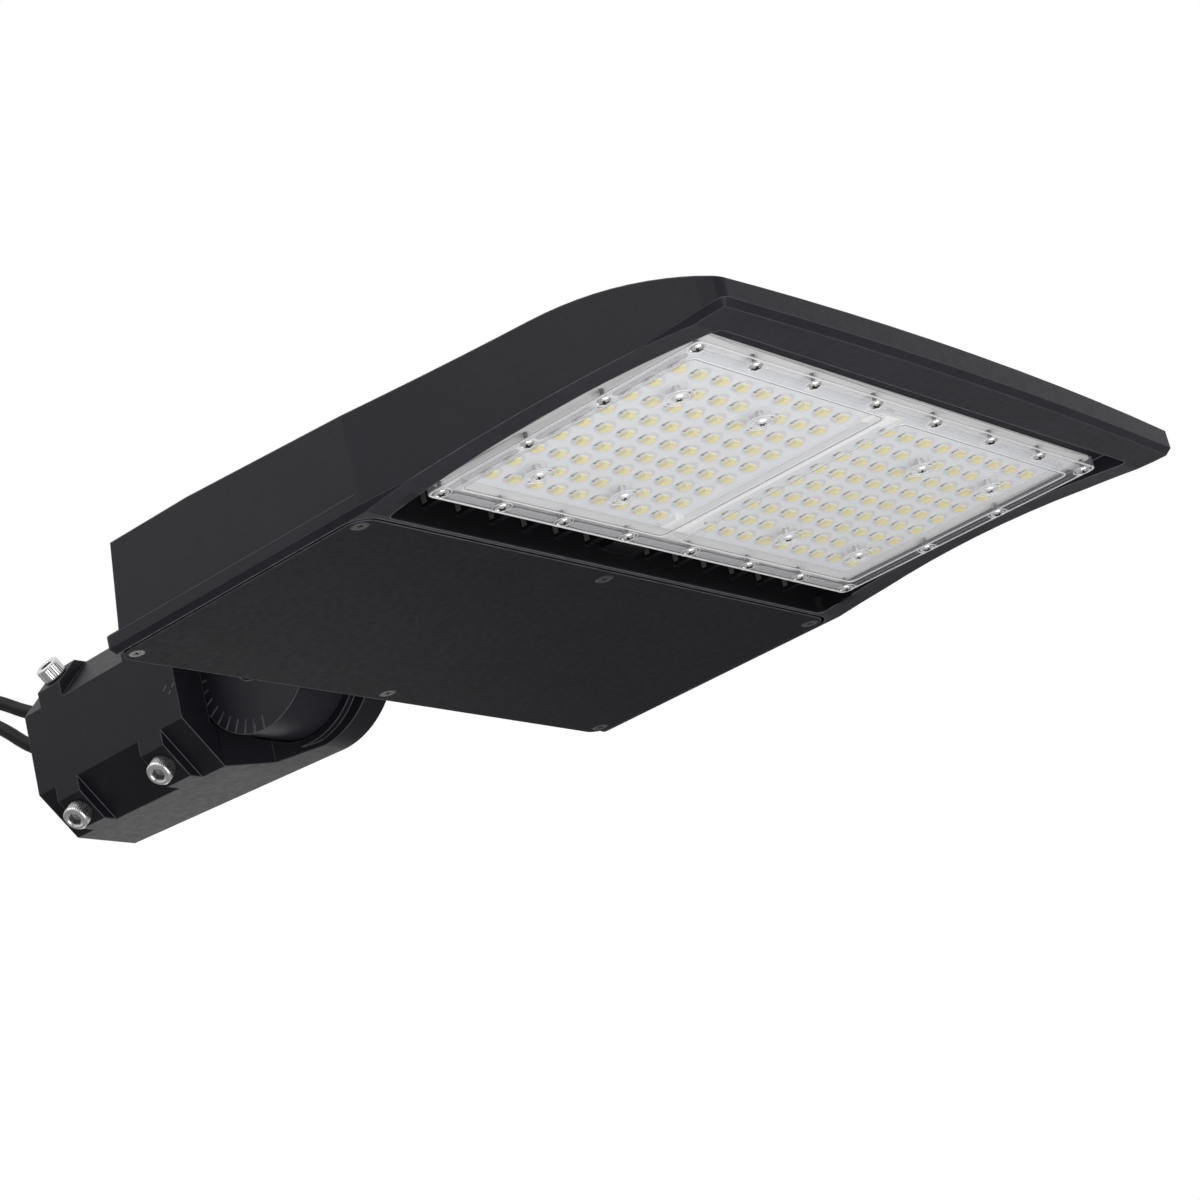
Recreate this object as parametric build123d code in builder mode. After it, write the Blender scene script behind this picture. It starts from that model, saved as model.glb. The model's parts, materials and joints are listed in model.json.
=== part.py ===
"""Parking lot light: an LED area light head on a slip fitter with a tilting knuckle.

Millimetres. The origin is the centre of the tenon socket's mouth, +X points along the
light towards its tip, +Z is up, and the lens faces down.
"""

import math
import os

from build123d import *

os.makedirs("parts", exist_ok=True)

# Tenon socket and slip fitter
tenon_diameter = 60.3
socket_clearance = 0.85
socket_depth = 88.0
arm_half_width = 39.3
mouth_half_height = 41.7
knuckle_radius = 44.5
chamfer_distance = 42.6
pad_distance = 48.2
outer_chamfer_mouth = 19.3
outer_chamfer_knuckle = 9.0
tube_end_x = 104.0
pivot_x = 136.0
web_start_y = -15.5
web_end_x = 115.0
web_end_y = 7.5
ear_lead = 5.0

# Clamp screws
clamp_x_first = 20.0
clamp_x_second = 80.5
clamp_pad_half = 8.0
clamp_shank_radius = 4.0
clamp_head_radius = 6.5
clamp_head_height = 8.0
clamp_key_flats = 6.0
clamp_key_depth = 4.0
clamp_tip_gap = 0.8
clamp_offset = 2.2
thread_clearance = 0.1

# Knuckle
boss_radius = 37.5
boss_face_y = -19.0
ear_inner_y = 15.0
knuckle_gap = 0.3
pocket_clearance = 1.5
ring_gap = 0.8
ring_width = 3.2
ring_height = 3.5
pivot_radius = 5.0
pivot_running_clearance = 0.15
pivot_head_flats = 15.0
pivot_head_height = 6.0
pivot_washer_radius = 10.0
pivot_washer_thickness = 2.0
pivot_nut_flats = 16.0
pivot_nut_height = 8.0
pivot_recess_clearance = 0.8
pivot_recess_depth = 6.5
nut_recess_depth = 11.0
pivot_end_gap = 0.4
dial_tick_length = 7.0
dial_tick_width = 0.8
dial_tick_depth = 0.4
dial_tick_step = 10
passage_reach = 10.0
passage_share = 0.22
neck_half_height = 19.0
neck_far_y = 6.0
neck_flare_x = 178.0
neck_shoulder = 2.0
wire_tunnel_radius = 4.5
wire_tunnel_z = 11.5
wire_tunnel_y = -6.0

# Bracket flange on the housing's back
flange_face_x = 198.5
flange_thickness = 8.0
flange_half_width = 38.0
flange_bottom_z = -31.0
flange_top_z = 27.0
flange_corner = 6.0
bracket_gasket_thickness = 1.5
bracket_bolt_y = 28.0
bracket_bolt_low_z = -22.0
bracket_bolt_high_z = 18.0
bracket_bolt_radius = 4.0
bracket_bolt_flats = 13.0
bracket_bolt_head = 5.3
bracket_bolt_length = 20.0
bolt_clearance = 0.3
bolt_boss_margin = 8.0
bolt_boss_depth = 5.0
back_pad_margin = 5.0

# Head outline
underside_z = -42.5
head_back_x = 191.5
head_half_width = 171.5
lip_depth = 10.0
lip_height = 8.5
lip_corner = 4.0
back_lean = 5.0
side_top_z = 4.8
shoulder_reach = 63.5
bend_reach = 96.0
bend_drop = 9.5
nose_depth = 20.0
nose_bow = 4.0
nose_height = 11.0
nose_bevel = 2.8
nose_corner = 3.4
back_crown = 26.0
nose_crown = 4.0
waist_lag = 1.5
waist_lead = 14.5
waist_depth = 4.3
scallop_rise = 5.0
arch_lag = 2.0
shell_wall = 4.5
sky_margin = 6.0

# Driver compartment and its cover
box_wall = 3.5
cover_length = 149.5
cover_border = 5.0
cover_thickness = 3.0
cover_corner = 9.5
cover_groove = 1.8
cover_gasket_thickness = 1.0
cover_land = 12.0
cover_screw_inset_x = 6.9
cover_screw_inset_y = 6.5
cover_screw_radius = 2.0
cover_screw_head_radius = 3.9
cover_screw_length = 6.6
screw_gap = 0.15
gasket_inset = 1.0

# Light engine
slot_length = 13.5
recess_border = 16.5
recess_front_gap = 12.7
recess_corner = 4.0
plate_under_z = -34.0
plate_thickness = 5.5
fin_pitch = 21.5
fins_per_side = 6
fin_thickness = 3.2
fin_front_gap = 13.0
bridge_half_width = 11.5

lens_back_gap = 4.7
lens_length = 145.6
lens_side_gap = 4.6
lens_height = 5.0
lens_floor = 2.0
lens_flange = 10.5
lens_corner = 3.0
lens_gasket_thickness = 1.0
lens_screw_inset = 4.8
lens_screw_side_x = 20.3
lens_screw_radius = 1.5
lens_screw_head_radius = 3.0
lens_screw_head_height = 1.8
lens_screw_length = 10.0
hole_end_gap = 0.5
lens_screw_ys = (22.6, 67.0, 107.5)
lens_post_radius = 4.5
lens_clearance = 0.3

led_count = 9
led_inset_x = 20.6
led_inset_y = 20.1
led_inner_y = 17.5
led_front_gap = 25.0
led_width = 4.8
led_height = 2.2
board_thickness = 1.0
board_gap = 0.4
post_rows = (1, led_count - 2)
post_columns = (1, led_count // 2 + 1)
bar_half_width = 3.0
bar_height = 3.8
bar_back_gap = 14.3
bar_front_gap = 11.8
connector_length = 9.0
connector_width = 7.0
connector_height = 2.6
connector_gap = 0.3

# Electrical gear in the compartment
driver_length = 228.0
driver_height = 36.0
driver_gap = 8.5
driver_top_z = 6.0
driver_foot = 13.0
driver_foot_thickness = 3.0
driver_screw_inset = 11.0
driver_boss_radius = 6.0
driver_screw_radius = 2.0
driver_screw_length = 8.0
driver_screw_head_radius = 4.0
driver_screw_head_height = 2.4
surge_length = 24.0
surge_width = 46.0
surge_height = 26.0
surge_y = -70.0
terminal_length = 20.0
terminal_width = 38.0
terminal_height = 16.0
terminal_ways = 5
terminal_entry_radius = 2.2
terminal_entry_depth = 8.0
terminal_y = 66.0
gear_front_gap = 6.0
gear_top_z = -6.0

# Supply cords
cord_radius = 3.65
cord_groove_clearance = 0.55
power_groove_y = 5.0
power_groove_z = 34.4
dimming_groove_y = 30.0
dimming_groove_z = 18.5
grommet_radius = 4.6
grommet_length = 7.0
grommet_gap = 0.05
groove_bow = 0.25
passage_radius = 4.2
core_radius = 1.1
core_length = 34.0
power_core_count = 3
dimming_core_count = 2
core_spread = 1.9

# Worked out from the sizes above
socket_radius = tenon_diameter / 2 + socket_clearance
socket_end_x = socket_depth
grommet_seat_x = socket_end_x + grommet_length
lip_top_z = underside_z + lip_height
back_wall_x = head_back_x + lip_depth
nose_top_z = underside_z + nose_height
cover_half_width = head_half_width - cover_border
cover_front_x = head_back_x + cover_length
cover_screw_y = cover_half_width - cover_screw_inset_y
cover_screw_xs = (head_back_x + cover_screw_inset_x, cover_front_x - cover_screw_inset_x)
box_front_x = cover_front_x + box_wall
plate_back_x = box_front_x + slot_length
recess_half_width = head_half_width - recess_border
lens_half_width = recess_half_width - lens_side_gap
lens_back_x = plate_back_x + lens_back_gap
lens_front_x = lens_back_x + lens_length
lens_centre_x = lens_back_x + lens_length / 2
recess_front_x = lens_front_x + recess_front_gap
fin_front_x = recess_front_x - fin_front_gap
nose_x = recess_front_x + nose_depth
shoulder_x = head_back_x + shoulder_reach
bend_x = nose_x - bend_reach
waist_start_x = box_front_x + waist_lag
waist_end_x = nose_x - waist_lead
cover_inner_z = underside_z + cover_thickness
land_z = cover_inner_z + cover_gasket_thickness
plate_top_z = plate_under_z + plate_thickness
lens_top_z = plate_under_z - lens_gasket_thickness
lens_under_z = lens_top_z - lens_height
pad_face_x = flange_face_x + bracket_gasket_thickness
flange_back_x = flange_face_x - flange_thickness
pivot_head_radius = pivot_head_flats / math.sqrt(3)
pivot_head_y = arm_half_width - pivot_recess_depth
washer_seat_y = boss_face_y + nut_recess_depth
nut_back_y = washer_seat_y - knuckle_gap - pivot_washer_thickness
nut_face_y = nut_back_y - pivot_nut_height - pivot_end_gap
flange_height = flange_top_z - flange_bottom_z
flange_centre_z = (flange_top_z + flange_bottom_z) / 2
dial_ticks = 180 // dial_tick_step + 1
back_pad_top_z = flange_top_z + bracket_gasket_thickness
waist_middle_x = (waist_start_x + waist_end_x) / 2
arch_end_x = recess_front_x - arch_lag
arch_middle_x = (waist_start_x + arch_end_x) / 2
space_half_width = cover_half_width - cover_land
space_back_x = back_wall_x + back_lean + shell_wall
space_front_x = cover_front_x - cover_land
gear_pad_x = space_front_x - gear_front_gap - surge_length / 2
driver_room_back_x = space_back_x + bolt_boss_depth
driver_room_front_x = gear_pad_x - surge_length / 2
driver_centre_x = (driver_room_back_x + driver_room_front_x) / 2
driver_width = driver_room_front_x - driver_room_back_x - 2 * driver_gap
driver_screw_x = driver_width / 2 - driver_screw_inset
cover_cone_height = cover_screw_head_radius - cover_screw_radius
cover_hole_depth = cover_screw_length - cover_thickness - cover_gasket_thickness + hole_end_gap
driver_hole_depth = driver_screw_length - driver_foot_thickness + hole_end_gap
lens_hole_depth = lens_screw_length - lens_height - lens_gasket_thickness + hole_end_gap
bracket_hole_depth = bracket_bolt_length - flange_thickness - bracket_gasket_thickness + hole_end_gap
reach = head_half_width / 2
ear_x = pivot_x + ear_lead
lean_share = (reach - lip_top_z) / (side_top_z - lip_top_z)
sky_half_width = head_half_width + sky_margin
nose_stations = [bend_x + (nose_x + 2 - bend_x) * k / 4 for k in range(5)]
board_under_z = plate_under_z - board_thickness
board_length = lens_length - 2 * (lens_flange + board_gap)
board_inner_y = bar_half_width + connector_gap
board_outer_y = lens_half_width - lens_flange - board_gap
led_first_x = lens_back_x + led_inset_x
led_pitch_x = (lens_length - led_inset_x - led_front_gap) / (led_count - 1)
led_outer_y = lens_half_width - led_inset_y
led_span_y = led_outer_y - led_inner_y
led_pitch_y = led_span_y / (led_count - 1)
bar_start_x = lens_back_x + bar_back_gap
bar_end_x = lens_front_x - bar_front_gap
rising = (Align.CENTER, Align.CENTER, Align.MIN)
hanging = (Align.CENTER, Align.CENTER, Align.MAX)
bend_z = side_top_z - bend_drop
bend_slope = bend_drop / (bend_x - shoulder_x)
nose_end_x = nose_x - nose_bow
nose_curve = (bend_z - nose_top_z - bend_slope * (nose_end_x - bend_x)) / (nose_end_x - bend_x) ** 2


def edge_height(x):
    """Height of the side wall's top edge: level, then a long slope, then a curve down to the nose."""
    if x <= shoulder_x:
        return side_top_z
    if x <= bend_x:
        return side_top_z - bend_slope * (x - shoulder_x)
    return bend_z - bend_slope * (x - bend_x) - nose_curve * (x - bend_x) ** 2


def crown_rise(x):
    """How far the middle of the top stands above its side edges."""
    share = (x - back_wall_x) / (nose_x - back_wall_x)
    return back_crown + (nose_crown - back_crown) * share


def roof_height(x, y):
    """Height of the crowned top at x and y, on an arc that springs from the two side edges."""
    rise = crown_rise(x)
    arc_radius = (head_half_width ** 2 + rise ** 2) / (2 * rise)
    return edge_height(x) + rise - arc_radius + math.sqrt(arc_radius ** 2 - y ** 2)


def roof_section(x, half, drop, level_z):
    """Section at x bounded by the roof's arc, lowered by drop, and by a level line at level_z."""
    edge = roof_height(x, half) - drop
    with BuildSketch(Plane.YZ.offset(x)) as section:
        with BuildLine():
            Polyline((half, edge), (half, level_z), (-half, level_z), (-half, edge))
            ThreePointArc((-half, edge), (0, roof_height(x, 0) - drop), (half, edge))
        make_face()
    return section.sketch.face()


def arm_half_height(x):
    """Half height of the slip fitter's tube, which swells slightly towards the knuckle."""
    return mouth_half_height + (knuckle_radius - mouth_half_height) * x / ear_x


def arm_section(x):
    """Cross-section of the slip fitter at x: an octagon whose clamp side keeps its full corner pads."""
    height = arm_half_height(x)
    share = x / ear_x
    outer = outer_chamfer_mouth + (outer_chamfer_knuckle - outer_chamfer_mouth) * share
    pad_reach = pad_distance * math.sqrt(2)
    with BuildSketch(Plane.YZ.offset(x)) as section:
        with BuildLine():
            Polyline(
                (arm_half_width, height - outer),
                (arm_half_width - outer, height),
                (height - pad_reach, height),
                (-arm_half_width, pad_reach - arm_half_width),
                (-arm_half_width, arm_half_width - pad_reach),
                (height - pad_reach, -height),
                (arm_half_width - outer, -height),
                (arm_half_width, outer - height),
                close=True,
            )
        make_face()
    return section.sketch.face()


def clamp_plane(x, up):
    """Plane on a clamp pad at x, with its normal pointing out along the screw."""
    outward = Vector(0, -1, up).normalized()
    across = Vector(0, 1, up).normalized()
    centre = Vector(x, 0, 0) + outward * pad_distance + across * clamp_offset
    return Plane(origin=centre, x_dir=(1, 0, 0), z_dir=outward)


def knuckle_plane(y):
    """Plane across the pivot axis at y, with local X along +X, local Y along +Z and its normal along -Y."""
    return Plane(origin=(pivot_x, y, 0), x_dir=(1, 0, 0), z_dir=(0, -1, 0))


def facing_back(x):
    """Plane at x with its normal pointing along -X and local X along -Y."""
    return Plane(origin=(x, 0, 0), x_dir=(0, -1, 0), z_dir=(-1, 0, 0))


def cord_radii(points):
    """Bend radius at each inner point of a cord's route, as large as its two runs allow."""
    radii = []
    for before, here, after in zip(points, points[1:], points[2:]):
        run_in = Vector(here) - Vector(before)
        run_out = Vector(after) - Vector(here)
        turn = math.radians(run_in.get_angle(run_out))
        radii.append(0.45 * min(run_in.length, run_out.length) / math.tan(turn / 2))
    return radii


clamp_places = [(x, up) for x in (clamp_x_first, clamp_x_second) for up in (-1, 1)]
fin_edges = [bridge_half_width]
for k in range(1, fins_per_side + 1):
    fin_edges += [k * fin_pitch - fin_thickness / 2, k * fin_pitch + fin_thickness / 2]
fin_edges.append(recess_half_width)
fin_gaps = list(zip(fin_edges[::2], fin_edges[1::2]))
fin_gaps += [(-high_y, -low_y) for low_y, high_y in fin_gaps]
cover_screw_places = [(x, y) for x in cover_screw_xs for y in (-cover_screw_y, 0, cover_screw_y)]
bracket_bolt_places = [(y, z) for y in (-bracket_bolt_y, bracket_bolt_y)
                       for z in (bracket_bolt_low_z, bracket_bolt_high_z)]
driver_screw_places = [(driver_centre_x + dx, side * (driver_length + driver_foot) / 2)
                       for dx in (-driver_screw_x, driver_screw_x) for side in (-1, 1)]

lens_rim_xs = (lens_back_x + lens_screw_inset, lens_front_x - lens_screw_inset)
lens_side_y = lens_half_width - lens_screw_inset
lens_screw_places = [(x, side * y) for x in lens_rim_xs for side in (-1, 1)
                     for y in (*lens_screw_ys, lens_side_y)]
lens_screw_places += [(lens_centre_x + dx, side * lens_side_y)
                      for dx in (-lens_screw_side_x, lens_screw_side_x) for side in (-1, 1)]


def led_place(row, column, side):
    """Centre of one LED: rows count along +X, columns count inwards from the outer edge."""
    return (led_first_x + row * led_pitch_x, side * (led_outer_y - column * led_pitch_y))


post_places = [led_place(row, column, side) for side in (-1, 1)
               for row in post_rows for column in post_columns]
connector_places = [(x, side * (bar_half_width + connector_width / 2 + connector_gap))
                    for x in (bar_start_x + connector_length / 2, bar_end_x - connector_length / 2)
                    for side in (-1, 1)]
cord_places = ((power_groove_y, power_groove_z), (dimming_groove_y, dimming_groove_z))
deep_chamfer = chamfer_distance * math.sqrt(2)
chamfer_runs = (
    (-1.0, clamp_x_first - clamp_pad_half),
    (clamp_x_first + clamp_pad_half, clamp_x_second - clamp_pad_half),
    (clamp_x_second + clamp_pad_half, tube_end_x + 1.0),
)

# Slip fitter casting: tapering eight-sided socket, raised clamp pads and the ear of the knuckle
with BuildPart() as slip_fitter_arm:
    loft([arm_section(0), arm_section(ear_x)])
    with BuildSketch(Plane.XY):
        with BuildLine():
            Polyline(
                (ear_x, ear_inner_y),
                (ear_x + knuckle_radius, ear_inner_y),
                (ear_x + knuckle_radius, arm_half_width - outer_chamfer_knuckle),
                (ear_x + knuckle_radius - outer_chamfer_knuckle, arm_half_width),
                (ear_x, arm_half_width),
                close=True,
            )
        make_face()
    revolve(axis=Axis((ear_x, 0, 0), (0, 1, 0)))
    # Knuckle opening in front of the ear, with a slanting web behind it
    with BuildSketch(Plane.XY.offset(-reach)):
        with BuildLine():
            Polyline(
                (tube_end_x, -reach),
                (tube_end_x, web_start_y),
                (web_end_x, web_end_y),
                (ear_x, ear_inner_y),
                (pivot_x + reach, ear_inner_y),
                (pivot_x + reach, -reach),
                close=True,
            )
        make_face()
    extrude(amount=2 * reach, mode=Mode.SUBTRACT)
    with BuildSketch(knuckle_plane(ear_inner_y)):
        Circle(boss_radius + pocket_clearance)
    extrude(amount=ear_inner_y - boss_face_y + pocket_clearance, mode=Mode.SUBTRACT)
    with BuildSketch(knuckle_plane(ear_inner_y)):
        Circle(boss_radius + ring_gap + ring_width)
        Circle(boss_radius + ring_gap, mode=Mode.SUBTRACT)
    extrude(amount=ring_height)
    # Deep corner chamfers between the pads
    for start_x, end_x in chamfer_runs:
        for up in (-1, 1):
            with BuildSketch(Plane.YZ.offset(start_x)):
                with BuildLine():
                    Polyline(
                        (-reach, up * (deep_chamfer - reach)),
                        (-reach, up * reach),
                        (reach - deep_chamfer, up * reach),
                        close=True,
                    )
                make_face()
            extrude(amount=end_x - start_x, mode=Mode.SUBTRACT)
    # Socket bore with the two cord grooves, the grommet seats and the slanting wire passages
    with BuildSketch(Plane.YZ):
        Circle(socket_radius)
        with Locations(*cord_places):
            Circle(cord_radius + cord_groove_clearance)
    extrude(amount=socket_end_x, mode=Mode.SUBTRACT)
    with BuildSketch(Plane.YZ.offset(socket_end_x)):
        with Locations(*cord_places):
            Circle(grommet_radius)
    extrude(amount=grommet_length, mode=Mode.SUBTRACT)
    for y, z in cord_places:
        start = Vector(grommet_seat_x, y, z)
        end = Vector(pivot_x - boss_radius + passage_reach, y * passage_share, z * passage_share)
        with BuildSketch(Plane(origin=start, z_dir=end - start)):
            Circle(passage_radius)
        extrude(amount=(end - start).length, mode=Mode.SUBTRACT)
    for x, up in clamp_places:
        with BuildSketch(clamp_plane(x, up)):
            Circle(clamp_shank_radius + thread_clearance)
        extrude(amount=-(pad_distance - socket_radius / 2), mode=Mode.SUBTRACT)
    # Pivot bolt hole and the recess for its head
    with BuildSketch(knuckle_plane(arm_half_width)):
        Circle(pivot_radius + thread_clearance)
    extrude(amount=arm_half_width, mode=Mode.SUBTRACT)
    with BuildSketch(knuckle_plane(arm_half_width)):
        Circle(pivot_head_radius + pivot_recess_clearance)
    extrude(amount=pivot_recess_depth, mode=Mode.SUBTRACT)

# Clamp screws: socket-head cap screws, backed out of the bore
with BuildPart() as clamp_screws:
    for x, up in clamp_places:
        with BuildSketch(clamp_plane(x, up)):
            Circle(clamp_head_radius)
        extrude(amount=clamp_head_height)
        with BuildSketch(clamp_plane(x, up)):
            Circle(clamp_shank_radius)
        extrude(amount=-(pad_distance - socket_radius - clamp_tip_gap))
        with BuildSketch(clamp_plane(x, up).offset(clamp_head_height)):
            RegularPolygon(clamp_key_flats / 2, 6, major_radius=False)
        extrude(amount=-clamp_key_depth, mode=Mode.SUBTRACT)

# Pivot bolt from the ear's outside to the nut in the dial's recess
with BuildPart() as pivot_bolt:
    with BuildSketch(knuckle_plane(pivot_head_y)):
        RegularPolygon(pivot_head_flats / 2, 6, major_radius=False)
    extrude(amount=-pivot_head_height)
    with BuildSketch(knuckle_plane(pivot_head_y)):
        Circle(pivot_radius)
    extrude(amount=pivot_head_y - nut_face_y)

with BuildPart() as pivot_washer:
    with BuildSketch(knuckle_plane(washer_seat_y - knuckle_gap)):
        Circle(pivot_washer_radius)
        Circle(pivot_radius + thread_clearance, mode=Mode.SUBTRACT)
    extrude(amount=pivot_washer_thickness)

with BuildPart() as pivot_nut:
    with BuildSketch(knuckle_plane(nut_back_y)):
        RegularPolygon(pivot_nut_flats / 2, 6, major_radius=False)
        Circle(pivot_radius + thread_clearance, mode=Mode.SUBTRACT)
    extrude(amount=pivot_nut_height)

# Knuckle bracket: dial boss, neck and flange
with BuildPart() as knuckle_bracket:
    with BuildSketch(knuckle_plane(ear_inner_y - knuckle_gap)):
        Circle(boss_radius)
    extrude(amount=ear_inner_y - knuckle_gap - boss_face_y)
    with BuildSketch(knuckle_plane(neck_far_y)):
        with BuildLine():
            Polyline(
                (0, neck_half_height),
                (neck_flare_x - pivot_x, neck_half_height),
                (flange_back_x - pivot_x, flange_top_z - neck_shoulder),
                (flange_back_x - pivot_x, flange_bottom_z + neck_shoulder),
                (neck_flare_x - pivot_x, -neck_half_height),
                (0, -neck_half_height),
                close=True,
            )
        make_face()
    extrude(amount=neck_far_y - boss_face_y)
    with BuildSketch(Plane.YZ.offset(flange_back_x)):
        with Locations((0, flange_centre_z)):
            RectangleRounded(2 * flange_half_width, flange_height, flange_corner)
    extrude(amount=flange_thickness)
    with BuildSketch(Plane.YZ.offset(flange_back_x)):
        with Locations(*bracket_bolt_places):
            Circle(bracket_bolt_radius + bolt_clearance)
    extrude(amount=flange_thickness, mode=Mode.SUBTRACT)
    with BuildSketch(Plane.YZ.offset(pivot_x - boss_radius)):
        with Locations((wire_tunnel_y, wire_tunnel_z)):
            Circle(wire_tunnel_radius)
    extrude(amount=flange_face_x - pivot_x + boss_radius, mode=Mode.SUBTRACT)
    with BuildSketch(knuckle_plane(ear_inner_y)):
        Circle(pivot_radius + pivot_running_clearance)
    extrude(amount=ear_inner_y - boss_face_y, mode=Mode.SUBTRACT)
    with BuildSketch(knuckle_plane(boss_face_y)):
        Circle(pivot_washer_radius + pocket_clearance)
    extrude(amount=-nut_recess_depth, mode=Mode.SUBTRACT)
    # Graduations on the half of the dial that faces the pole
    with BuildSketch(knuckle_plane(boss_face_y)):
        with PolarLocations(boss_radius - dial_tick_length / 2, dial_ticks, 90, 180, endpoint=True):
            Rectangle(dial_tick_length, dial_tick_width)
    extrude(amount=-dial_tick_depth, mode=Mode.SUBTRACT)

with BuildPart() as bracket_gasket:
    with BuildSketch(Plane.YZ.offset(flange_face_x)):
        with Locations((0, flange_centre_z)):
            RectangleRounded(2 * flange_half_width, flange_height, flange_corner)
        with Locations(*bracket_bolt_places):
            Circle(bracket_bolt_radius + bolt_clearance, mode=Mode.SUBTRACT)
        with Locations((wire_tunnel_y, wire_tunnel_z)):
            Circle(wire_tunnel_radius, mode=Mode.SUBTRACT)
    extrude(amount=bracket_gasket_thickness)

with BuildPart() as bracket_bolts:
    with BuildSketch(facing_back(flange_back_x)):
        with Locations(*bracket_bolt_places):
            RegularPolygon(bracket_bolt_flats / 2, 6, major_radius=False)
    extrude(amount=bracket_bolt_head)
    with BuildSketch(Plane.YZ.offset(flange_back_x)):
        with Locations(*bracket_bolt_places):
            Circle(bracket_bolt_radius)
    extrude(amount=bracket_bolt_length)

# Space above the crowned roof, used to shape the head's top: straight-sided at the back, curved at the nose
with BuildPart() as sky_back:
    loft([roof_section(x, sky_half_width, 0, reach)
          for x in (head_back_x - 1, shoulder_x, bend_x)], ruled=True)

with BuildPart() as sky_nose:
    loft([roof_section(x, sky_half_width, 0, reach) for x in nose_stations])

# Hollow of the driver compartment, with the bosses and pads that stand in it left out
with BuildPart() as driver_space:
    loft([roof_section(x, space_half_width, shell_wall, cover_inner_z)
          for x in (space_back_x, shoulder_x, space_front_x)], ruled=True)
    with BuildSketch(Plane.XY.offset(driver_top_z)):
        with Locations(*driver_screw_places):
            Circle(driver_boss_radius)
    extrude(amount=reach, mode=Mode.SUBTRACT)
    with BuildSketch(Plane.XY.offset(gear_top_z)):
        with Locations((gear_pad_x, surge_y)):
            Rectangle(surge_length, surge_width)
        with Locations((gear_pad_x, terminal_y)):
            Rectangle(terminal_length, terminal_width)
    extrude(amount=reach, mode=Mode.SUBTRACT)
    with BuildSketch(Plane.YZ.offset(space_back_x)):
        with Locations((0, 0)):
            Rectangle(2 * (bracket_bolt_y + bolt_boss_margin), 2 * reach)
    extrude(amount=bolt_boss_depth, mode=Mode.SUBTRACT)

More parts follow.
